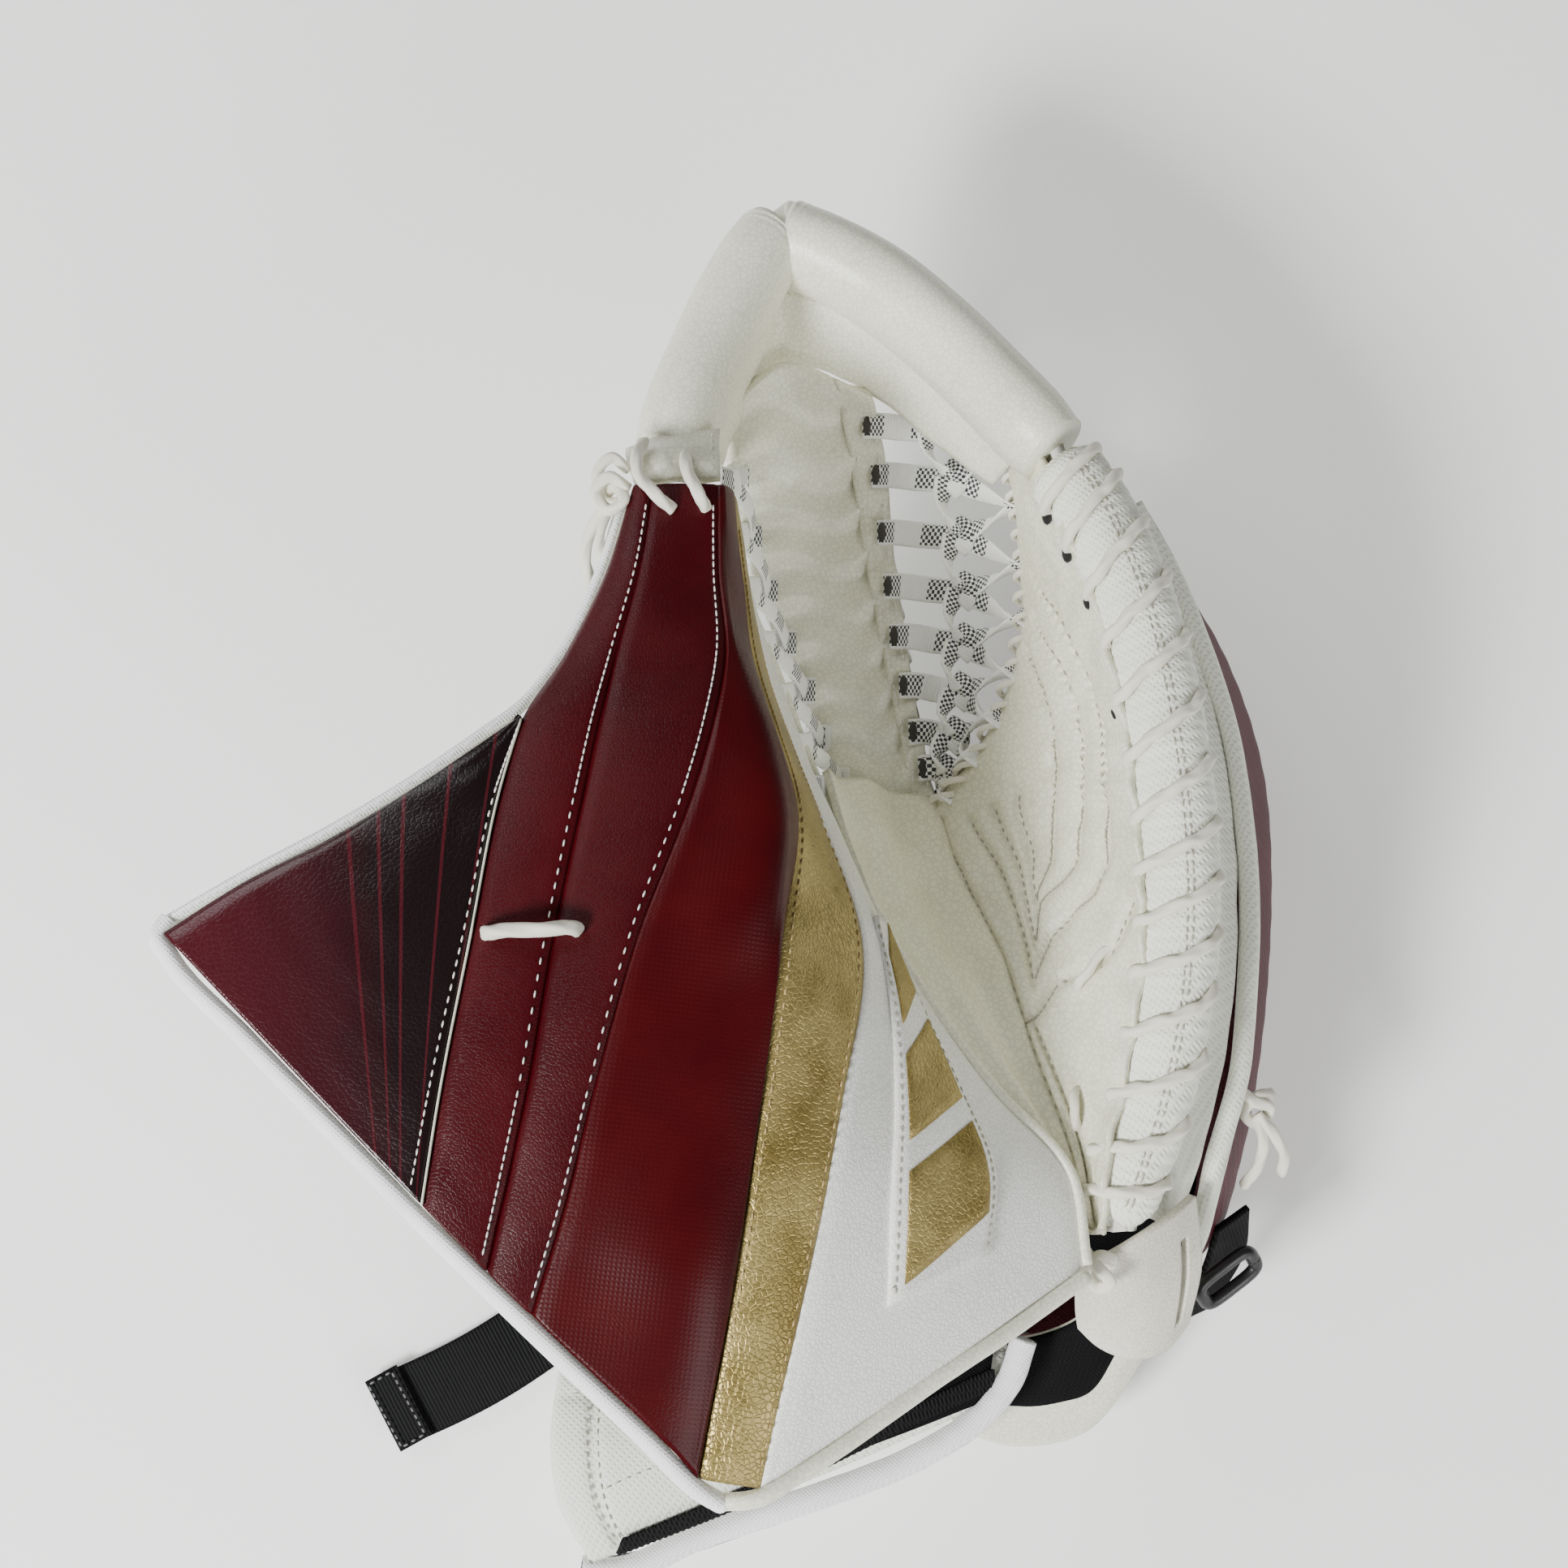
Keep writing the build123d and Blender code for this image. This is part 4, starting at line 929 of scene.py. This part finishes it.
bm = bmesh.new()
for degrees in (96, 104):
    sewn(bm, lambda share: round_roll(share, degrees), ROLL_LENGTH, 0.04, 0.96)
fitted(bm, "roll_seam_stitches", shade_darkened_thread, "lace", "hand_half")
bm = bmesh.new()
for at in LOOP_SHARES:
    loop = []
    for step in range(13):
        degrees = 12 + 152 * step / 12
        slide = LOOP_SKEW * (step / 12 - 0.5) / ROLL_LENGTH
        lift = 0.4 if step in (0, 12) else 1.5 + 1.4 * math.exp(-step / 2)
        loop.append(round_roll(at - slide, degrees, lift)[0])
    lace(bm, loop, 3.5, 64)
fitted(bm, "perimeter_lace_loops", lace_cotton, "lace", "hand_half", "perimeter_lace")

# Punched lace holes where each loop goes through the palm leather, filled with dark ellipsoids: painted shade
# inside the holes.
hole_dark = cotton("lace_hole_shade", "#141210", 0.9)
bm = bmesh.new()
for at in LOOP_SHARES:
    spot, out = round_roll(at + LOOP_SKEW * 0.53 / ROLL_LENGTH, 13, 1.6)
    size = Matrix.Diagonal((1.7 * MM, 3.2 * MM, 1.7 * MM, 1.0))
    bmesh.ops.create_icosphere(bm, subdivisions=2, radius=1.0, matrix=Matrix.Translation(spot * MM) @ size)
fitted(bm, "perimeter_lace_holes", hole_dark, "lace", "hand_half")

# ==== Backhand =============================================================================
# Ribbed wine nylon pad that the glove lies on, with its liner, its white edge tape and the gusset
# wall up to the roll.
BACK = [[(20, -138, 6), (0, -128, 3), (-22, -110, 1.5), (-26, -80, 1), (-26, -36, 1), (-10, 5, 1),
         (60, 45, 1.5), (88, 80, 2.5), (94, 108, 26), (92, 122, 66)],
        [(55, -140, 6), (60, -130, 2.5), (60, -110, 1), (60, -80, 0.8), (60, -36, 0.8), (65, 5, 0.8),
         (90, 45, 1), (101, 80, 2.5), (99, 108, 25), (95, 122, 64)],
        [(84, -141, 6), (90, -130, 3), (115, -110, 1.5), (122, -80, 1), (128, -36, 1), (130, 5, 1),
         (125, 45, 1.5), (115, 80, 3), (104, 108, 25), (98, 122, 63)],
        [(100, -140, 10), (106, -130, 8), (136, -110, 14), (147, -80, 15), (155, -36, 16), (158, 5, 18),
         (152, 45, 18), (140, 80, 22), (121, 108, 42), (110, 122, 72)],
        [(110, -136, 18), (118, -128, 20), (142, -110, 35), (152, -80, 45), (160, -36, 45), (163, 5, 46),
         (160, 45, 48), (147, 80, 55), (127, 108, 65), (113, 122, 86)],
        [(114, -132, 28), (121, -124, 34), (134, -110, 60), (139, -80, 78), (147, -36, 84), (149, 5, 86),
         (146, 45, 90), (135, 80, 93), (119, 108, 95), (108, 122, 97)]]
wine_nylon = cloth_material("wine_ribbed_nylon", "#3A0814", "#4E1222", 1.3, 0.6, 0.5)


def back_relief(across, along):
    """Ribs across the fingers on the outer bulge, flat where it lies on the table."""
    bulge = max(0.0, across - 0.5) * 2
    ribs = bulge * 0.12 * math.cos(math.tau * along * 34)
    return -0.9 + ribs + 0.5 * bulge * noise.noise(Vector((across * 5, along * 9, 4)))


bm = bmesh.new()
skin(bm, BACK, (70, 260), back_relief, 5.5, facing=(0.4, 0, -1))
PRESSED_FLAT = 0.4
for v in bm.verts:
    v.co.z = max(v.co.z, PRESSED_FLAT * MM)
back = fitted(bm, "backhand_pad_nylon", wine_nylon, "maroon_nylon", "hand_half", "backhand_pad")
bm = bmesh.new()
skin(bm, [line[1:8] for line in BACK], (50, 70),
     lambda across, along: -8.2 - 0.5 * noise.noise(Vector((across * 8, along * 8, 1))), 1.6,
     facing=(0.4, 0, -1))
fitted(bm, "hand_liner_knit", black_liner, "liner_fabric", "hand_half", "hand_liner")

BACK_TAPE = [(124, -122, 52), (131, -110, 63), (137, -80, 80), (143, -58, 85), (146, -30, 88), (147, 0, 90),
             (145, 25, 92), (141, 49, 94), (133, 74, 97), (123, 98, 99), (112, 117, 102)]
bm = bmesh.new()
tube(bm, BACK_TAPE, 6.4, 8.0, 14, 150, shape=lambda s, a: 1 + 0.03 * noise.noise(Vector((s * 30, a, 7))))
fitted(bm, "backhand_edge_tape", white_twill, "white_nylon", "hand_half", "backhand_binding")
WALL = [[(108, 112, 108), (117, 92, 109), (124, 70, 110), (129, 42, 110), (132, 5, 108), (131, -36, 101),
         (121, -76, 90), (112, -98, 82)],
        [(114, 112, 102), (122, 96, 101), (132, 70, 98), (139, 42, 96), (143, 5, 92), (141, -36, 90),
         (133, -76, 84), (126, -104, 68)]]
bm = bmesh.new()
skin(bm, WALL, (14, 110), lambda across, along: -1.5 * math.sin(math.pi * across)
     + 0.6 * noise.noise(Vector((along * 24, across * 2, 3))), 2.0)
fitted(bm, "roll_wall_nylon", white_twill, "white_nylon", "hand_half", "roll_wall")

# Sewn fabric walls between the fingers, and the thumb's fabric stall under the slab.
bm = bmesh.new()
for fin_x, fin_low, fin_top in ((84, 14, 56), (102, 14, 78), (120, 20, 86)):
    skin(bm, [[(fin_x, -5, fin_low), (fin_x, 36, fin_low), (fin_x, 78, fin_low)],
              [(fin_x, -5, fin_top), (fin_x, 36, fin_top), (fin_x, 78, fin_top)]], (20, 30),
         lambda across, along: 0.6 * math.sin(along * 9 + across * 4), 1.6)
fitted(bm, "finger_divider_knit", black_liner, "liner_fabric", "hand_half", "finger_dividers")
STALL = [(-34, -50, 138), (-34, -5, 138), (-36, 32, 134), (-38, 74, 124)]
STALL_RADII = [16.5, 16.5, 15.0, 11.2]
bm = bmesh.new()
tube(bm, STALL, 33, 33, 48, 40, caps=False,
     shape=lambda s, a: (smooth([(r / 16.5, 0, 0) for r in STALL_RADII], s).x
                         + 0.02 * noise.noise(Vector((a, s * 9, 6)))))
bmesh.ops.solidify(bm, geom=bm.faces[:], thickness=1.8 * MM)
tube(bm, [(-38, 70, 125), (-38, 74, 124), (-38.3, 78, 122.5)], 21, 21, 24, 10,
     shape=lambda s, a: math.sqrt(max(1 - s ** 2, 0.02)))
fitted(bm, "thumb_stall_knit", black_liner, "liner_fabric", "thumb_half", "thumb_stall")

# ==== Heel =================================================================================
# Cream leather tab with the slot for the wrist strap, the lace knots beside it.
HEEL = [[(91, -114, 95), (92.5, -122, 84), (96, -131, 68)],
        [(99, -109, 97), (101, -123, 82), (104, -138, 60)],
        [(109, -103, 97), (112, -121, 80), (113.5, -141, 56)],
        [(119, -97, 93), (122, -117, 76), (122, -139, 54)],
        [(127, -92, 87), (131, -111, 73), (129.5, -131, 55)]]


def slotted(bm, lines, cells, slot, relief, thick):
    """A leather skin with a slot: (across, along) from and to."""
    made = bmesh.ops.create_grid(bm, x_segments=cells[0], y_segments=cells[1], size=0.5)["verts"]
    gone = []
    for f in dict.fromkeys(f for v in made for f in v.link_faces):
        middle = f.calc_center_median()
        if slot[0] < middle.x + 0.5 < slot[1] and slot[2] < middle.y + 0.5 < slot[3]:
            gone.append(f)
    bmesh.ops.delete(bm, geom=gone, context="FACES")
    for v in made:
        if v.is_valid:
            a, b = v.co.x + 0.5, v.co.y + 0.5
            v.co = (surface(lines, a, b) + Vector((0.3, -0.3, 1)).normalized() * relief(a, b)) * MM
    bm.normal_update()
    bmesh.ops.solidify(bm, geom=bm.faces[:], thickness=thick * MM)
    bmesh.ops.recalc_face_normals(bm, faces=bm.faces[:])


cream_leather = leather("cream_tab_leather", "#D9D5C3", "#E9E6D8", 1.5, 0.45, 0.3, 0.08)
bm = bmesh.new()
slotted(bm, HEEL, (60, 50), (0.80, 0.86, 0.22, 0.86), lambda a, b: 1.5 * math.sin(math.pi * a), 2.6)
fitted(bm, "heel_tab_leather", cream_leather, "white_leather", "hand_half", "heel_tab")
bm = bmesh.new()
lift = Vector((0.3, -0.3, 1)).normalized() * 1.9
sewn(bm, lambda share: (surface(HEEL, 0.05 + share * 0.68, 0.88) + lift, lift), 34, 0.0, 1.0, 2.6)
sewn(bm, lambda share: (surface(HEEL, 0.73, 0.2 + share * 0.68) + lift, lift), 34, 0.0, 1.0, 2.6)
fitted(bm, "heel_tab_stitches", shade_darkened_thread, "lace", "hand_half")
bm = bmesh.new()
lace(bm, [(94, -108, 101), (97, -113, 104.5), (101, -117, 102), (98, -119, 98), (94, -115, 99.5),
          (97, -110, 103), (103, -111, 101)], 3.6)
fitted(bm, "heel_knot_twisted", lace_cotton, "lace", "hand_half", "heel_knot")
bm = bmesh.new()
lace(bm, [(143, -60, 82), (148, -64, 81), (154, -66, 77), (152, -71, 74), (146, -68, 77), (149, -63, 80),
          (155, -62, 75)], 3.6)
lace(bm, [(150, -68, 78), (155, -74, 77), (159, -80, 71), (160, -86, 63)], 3.4)
lace(bm, [(150, -69, 77), (152, -77, 76), (151, -84, 70), (148, -90, 63)], 3.4)
fitted(bm, "side_knot_twisted", lace_cotton, "lace", "hand_half", "side_knot")

# ==== Wrist strap ==========================================================================
# Black ribbed elastic webbing, 25 mm wide: its base under the cuff, the loose tail on the table and
# the band with its plastic keeper on the other side.
def webbing():
    """Woven elastic: cross ribs 1.2 mm apart on its length, dark and matt."""
    material, tree = new_material("black_elastic_webbing")
    place = add_node(tree, "TexCoord").outputs["Object"]
    turned = add_node(tree, "Mapping", {"Vector": place, "Rotation": (0.0, 0.0, -0.51)})
    ribs = add_node(tree, "TexWave", {"Vector": turned, "Scale": 1000 / 1.2 / 3.18, "Distortion": 0.5},
                    bands_direction="X")
    fibre = add_node(tree, "TexNoise", {"Vector": place, "Scale": 900.0, "Detail": 3.0})
    height = add_node(tree, "Math", {0: fibre.outputs["Fac"], 1: 0.3, 2: ribs.outputs["Fac"]},
                      operation="MULTIPLY_ADD")
    tone = add_node(tree, "Mix", {0: ribs.outputs["Fac"], 6: hex_colour("#050506"),
                                  7: hex_colour("#111113")}, data_type="RGBA")
    bump = add_node(tree, "Bump", {"Height": height, "Strength": 0.6, "Distance": 0.0004})
    shaded(tree, {"Base Color": tone.outputs[2], "Roughness": 0.75, "Normal": bump,
                  "IOR": 1.45, "Specular IOR Level": 0.25})
    return material


black_elastic = webbing()


def strap(name, node, start, stop, wide, low, wave, body, bend=0.0):
    """A flat length of webbing between two plan points, lying on z = low, waving a little."""
    start, stop = Vector(start), Vector(stop)
    way = (stop - start).normalized()
    side = Vector((-way.y, way.x, 0)) * wide / 2
    steps = [start.lerp(stop, k / 5) + side * bend * math.sin(math.pi * k / 5) for k in range(6)]
    lines = [[p + side * s + Vector((0, 0, low + 1.3)) for p in steps] for s in (-1, 0, 1)]
    bm = bmesh.new()
    skin(bm, lines, (16, 60), lambda across, along: wave * (0.5 - 0.5 * math.cos(along * 7)) + 1.0, 2.2)
    fitted(bm, name, black_elastic, "black_webbing", body, node)


strap("strap_base_elastic", "strap_base", (-22, -113.8, 0), (-69.4, -134.2, 0), 25, 2.6, 0.0, "hand_half")
strap("strap_tail_elastic", "strap_tail", (-70.4, -134.6, 0), (-122, -163.5, 0), 25, 2.2, 0.8, "strap_tail",
      0.16)
strap("strap_end_fold", "strap_end_tab", (-117, -160.7, 0), (-127, -166.2, 0), 25.6, 4.6, 0.0, "strap_tail")
bm = bmesh.new()
tip_a, tip_b = Vector((-118.5, -161.5, 8.3)), Vector((-126, -165.8, 8.3))
cross = Vector((-(tip_b - tip_a).y, (tip_b - tip_a).x, 0)).normalized() * 11.5
for first, last in ((tip_a - cross, tip_a + cross), (tip_b - cross, tip_b + cross),
                    (tip_a - cross, tip_b - cross), (tip_a + cross, tip_b + cross)):
    sewn(bm, lambda share: (first.lerp(last, share), Vector((0, 0, 1))), (last - first).length, 0.0, 1.0,
         2.4, 0.4, 0.0)
fitted(bm, "strap_end_stitches", cotton("grey_thread", "#6A6A6E"), "black_webbing", "strap_tail")
bm = bmesh.new()
skin(bm, [[(141, -104, 54), (139, -118, 37), (133, -134, 24)],
          [(151, -97, 54), (152, -112, 37), (144, -129, 24)]], (14, 40), lambda across, along: 0.6, 2.2)
fitted(bm, "strap_band_elastic", black_elastic, "black_webbing", "hand_half", "strap_band")

# Keeper: moulded black loop the strap runs through.
keeper_centre = Vector((144, -118, 50))
keeper_x = Vector((0.8, 0.6, 0)).normalized()
keeper_z = Vector((0.35, -0.6, 0.7)).normalized()
keeper_y = keeper_z.cross(keeper_x).normalized()
loop = []
for step in range(33):
    angle = math.tau * step / 32
    x = math.copysign(abs(math.cos(angle)) ** 0.45, math.cos(angle)) * 10.0
    y = math.copysign(abs(math.sin(angle)) ** 0.45, math.sin(angle)) * 5.5
    loop.append(keeper_centre + keeper_x * x + keeper_y * y + keeper_z * 1.25)


def moulded_plastic():
    """Moulded nylon: near-black, satin, with a fine mould grain and scuffs."""
    material, tree = new_material("black_moulded_nylon")
    place = add_node(tree, "TexCoord").outputs["Object"]
    grain = add_node(tree, "TexNoise", {"Vector": place, "Scale": 2200.0, "Detail": 3.0})
    scuff = add_node(tree, "TexNoise", {"Vector": place, "Scale": 120.0, "Detail": 6.0})
    gloss = add_node(tree, "MapRange", {0: scuff.outputs["Fac"], 1: 0.3, 2: 0.7, 3: 0.32, 4: 0.5})
    bump = add_node(tree, "Bump", {"Height": grain.outputs["Fac"], "Strength": 0.25, "Distance": 0.0002})
    shaded(tree, {"Base Color": hex_colour("#111113"), "Roughness": gloss,
                  "Normal": bump, "IOR": 1.5})
    return material


black_nylon = moulded_plastic()
bm = bmesh.new()
tube(bm, loop, 4.6, 4.0, 12, 96, up=keeper_z)
fitted(bm, "strap_keeper_loop", black_nylon, "black_plastic", "strap_keeper", "strap_keeper")

# ==== Wrist pad ============================================================================
# White nylon pad below the wrist, stuffed and quilted, with black ribbed elastic along it, a rolled
# tape edge and a black lining.
PAD = [[(-63, -134, 36), (-66, -150, 49), (-67.5, -168, 54), (-65, -187, 53), (-55, -206, 49)],
       [(-22, -133, 34), (-21, -149, 46), (-20, -166, 49), (-19, -181, 49), (-18, -193, 46)],
       [(30, -133, 30), (26, -148, 43), (22, -160, 45), (18, -172, 46), (14, -181, 45)],
       [(76, -133, 30), (76, -140, 38), (75, -146, 41), (73.5, -152, 41), (72, -157, 40)]]
SEWN_ACROSS = (0.09, 0.5)


def pillow(bm, lines, cells, height, depth, relief):
    """A stuffed shape: top and bottom skins that meet in a soft edge, height above and depth below in mm."""
    made = []
    for side in (height, -depth):
        verts = bmesh.ops.create_grid(bm, x_segments=cells[0], y_segments=cells[1], size=0.5)["verts"]
        faces = list(dict.fromkeys(f for v in verts for f in v.link_faces))
        spots = {v: (v.co.x + 0.5, v.co.y + 0.5) for v in verts}
        for v in verts:
            v.co = surface(lines, *spots[v]) * MM
        bm.normal_update()
        lifts = {}
        for v in verts:
            a, b = spots[v]
            full = (1 - abs(2 * a - 1) ** 8) ** 0.5 * (1 - abs(2 * b - 1) ** 6) ** 0.5
            up = v.normal if v.normal.z > 0 else -v.normal
            lifts[v] = up * side * full * (1 + relief(a, b)) * MM
        for v in verts:
            v.co += lifts[v]
        made += faces
    bmesh.ops.remove_doubles(bm, verts=list(dict.fromkeys(v for f in made for v in f.verts)), dist=0.000002)
    bmesh.ops.recalc_face_normals(bm, faces=[f for f in made if f.is_valid])


def pad_relief(across, along):
    """Quilted channels and soft creases."""
    channel = sum(math.exp(-((across - at) / 0.012) ** 2) for at in SEWN_ACROSS)
    rows = math.exp(-((along - 0.33) / 0.02) ** 2)
    return 0.12 * noise.noise(Vector((across * 7, along * 7, 8))) - 0.45 * channel - 0.3 * rows


bm = bmesh.new()
pillow(bm, PAD, (90, 60), 3.4, 7.0, pad_relief)
pad = fitted(bm, "wrist_pad_nylon", white_twill, "white_nylon", "wrist_flap", "wrist_pad")
bm = bmesh.new()
for across in (0.078, 0.102, 0.487, 0.513):
    sewn(bm, face_up(PAD, across, 2.6), 66, 0.06, 0.94, 2.8)
sewn(bm, lambda share: (surface(PAD, share, 0.31) + Vector((0, 0, 3.0)), Vector((0, 0, 1))),
     130, 0.04, 0.96, 2.8)
sewn(bm, lambda share: (surface(PAD, 0.1 + share * 0.4, 0.72 - 0.10 * math.sin(share * 3))
                        + Vector((0, 0, 3.2)), Vector((0, 0, 1))), 50, 0.02, 0.98, 2.8)
fitted(bm, "wrist_pad_stitches", shade_darkened_thread, "lace", "wrist_flap")

# Outer white flap of the wrist, below the heel, with a black lining.
FLAP = [[(58, -140, 34), (58, -158, 28), (60, -169, 23)],
        [(76, -139, 35), (78, -158, 27), (80, -174, 21)],
        [(94, -134, 38), (100, -153, 28), (102, -170, 20)],
        [(108, -124, 44), (117, -136, 34), (121, -146, 26)]]
bm = bmesh.new()
pillow(bm, FLAP, (44, 30), 2.2, 2.2,
       lambda across, along: 0.15 * noise.noise(Vector((across * 5, along * 5, 3))))
flap = fitted(bm, "wrist_outer_flap", white_leather, "white_leather", "hand_half")
bm = bmesh.new()
skin(bm, [[surface(FLAP, across, along) for along in (0.0, 0.25, low)]
          for across, low in ((0.03, 0.55), (0.35, 0.62), (0.7, 0.66), (0.9, 0.5))], (40, 20),
     lambda across, along: 2.9 - 1.6 * max(abs(2 * across - 1), abs(2 * along - 1)) ** 6, 1.4)
fitted(bm, "wrist_flap_lining_knit", black_liner, "liner_fabric", "hand_half")
bm = bmesh.new()
tube(bm, [(-58, -208, 46), (-50, -209, 45), (-20, -198, 44), (14, -187, 44), (48, -174, 43),
          (65, -163.5, 43.5), (76, -151, 45), (80.5, -138, 47)], 8.4, 8.0, 16, 170,
     shape=lambda s, a: 1 + 0.05 * noise.noise(Vector((s * 26, a, 1))))
fitted(bm, "wrist_pad_edge_roll", white_tape, "white_nylon", "wrist_flap", "wrist_pad_roll")
ELASTIC = [[(-46, -203, 51.5), (-4, -187, 50.5), (42, -166, 47.5), (70, -154, 45)],
           [(-44, -197.5, 54), (-3, -180.5, 52.5), (41, -160, 48.5), (70, -147, 46)]]
bm = bmesh.new()
skin(bm, ELASTIC, (12, 240), lambda across, along: 0.9 + 0.35 * math.cos(math.tau * along * 70)
     - 0.5 * abs(2 * across - 1) ** 4, 1.6)
fitted(bm, "wrist_elastic_band", black_elastic, "black_webbing", "wrist_flap", "wrist_elastic")
bm = bmesh.new()
skin(bm, [[surface(PAD, across, along) for along in (0.02, 0.3, 0.6, low)]
          for across, low in ((0.46, 0.80), (0.62, 0.84), (0.8, 0.86), (0.97, 0.88))], (40, 24),
     lambda across, along: 4.2 + 0.3 * noise.noise(Vector((across * 9, along * 4, 2))), 1.4)
fitted(bm, "wrist_liner_knit", black_liner, "liner_fabric", "wrist_flap", "wrist_liner")

# Black knit wall that joins the pad's hinge seam to the wrist end of the backhand.
bm = bmesh.new()
skin(bm, [[(12, -133, 4), (12, -135, 18), (12, -134, 33)],
          [(48, -139, 3), (48, -138.5, 18), (48, -134, 32)],
          [(86, -140, 5), (84, -138, 18), (77, -133.5, 31)]], (40, 16),
     lambda across, along: 0.8 * noise.noise(Vector((across * 8, along * 3, 5))), 1.8, facing=(0, -1, 0))
fitted(bm, "wrist_hinge_knit", black_liner, "liner_fabric", "hand_half")

# ==== Stage ================================================================================
# Pale table, soft light from the lower left, viewer above, tipped a little towards the wrist.
TIP_DEGREES = 8
bm = bmesh.new()
bmesh.ops.create_grid(bm, x_segments=8, y_segments=8, size=3.0)
table = finished(bm, "table_top")
material, tree = new_material("pale_table")
place = add_node(tree, "TexCoord").outputs["Object"]
haze = add_node(tree, "TexNoise", {"Vector": place, "Scale": 3.0, "Detail": 4.0})
tone = add_node(tree, "Mix", {0: haze.outputs["Fac"], 6: hex_colour("#F6F6F5"), 7: hex_colour("#FBFBFA")},
                data_type="RGBA")
shaded(tree, {"Base Color": tone.outputs[2], "Roughness": 0.7,
              "Emission Color": (1.0, 1.0, 0.98, 1.0), "Emission Strength": 0.3})
table.data.materials.append(material)
table.location.z = -0.0005

LIGHTS = {"key_softbox": ((-0.95, -0.8, 1.25), 0.45, 48.0), "fill_softbox": ((0.9, -1.0, 0.8), 0.8, 12.0),
          "top_softbox": ((-0.9, 0.9, 1.1), 0.8, 9.0)}
for name, (spot, size, watts) in LIGHTS.items():
    lamp = bpy.data.lights.new(name, "AREA")
    lamp.size = size
    lamp.energy = watts
    light = bpy.data.objects.new(name, lamp)
    light.location = spot
    light.rotation_euler = (Vector((0, 0, 0.08)) - light.location).to_track_quat("-Z", "Y").to_euler()
    bpy.context.collection.objects.link(light)
world = bpy.data.worlds.new("studio")
world.use_nodes = True
world.node_tree.nodes["Background"].inputs["Color"].default_value = (0.98, 1.0, 0.93, 1.0)
world.node_tree.nodes["Background"].inputs["Strength"].default_value = 0.19
bpy.context.scene.world = world

lens = bpy.data.cameras.new("viewer")
lens.lens = 57.5
lens.sensor_width = 36.0
camera = bpy.data.objects.new("viewer", lens)
camera.location = (0.005, -0.0747, 0.8516)
camera.rotation_euler = (math.radians(TIP_DEGREES), 0, 0)
bpy.context.collection.objects.link(camera)
bpy.context.scene.camera = camera
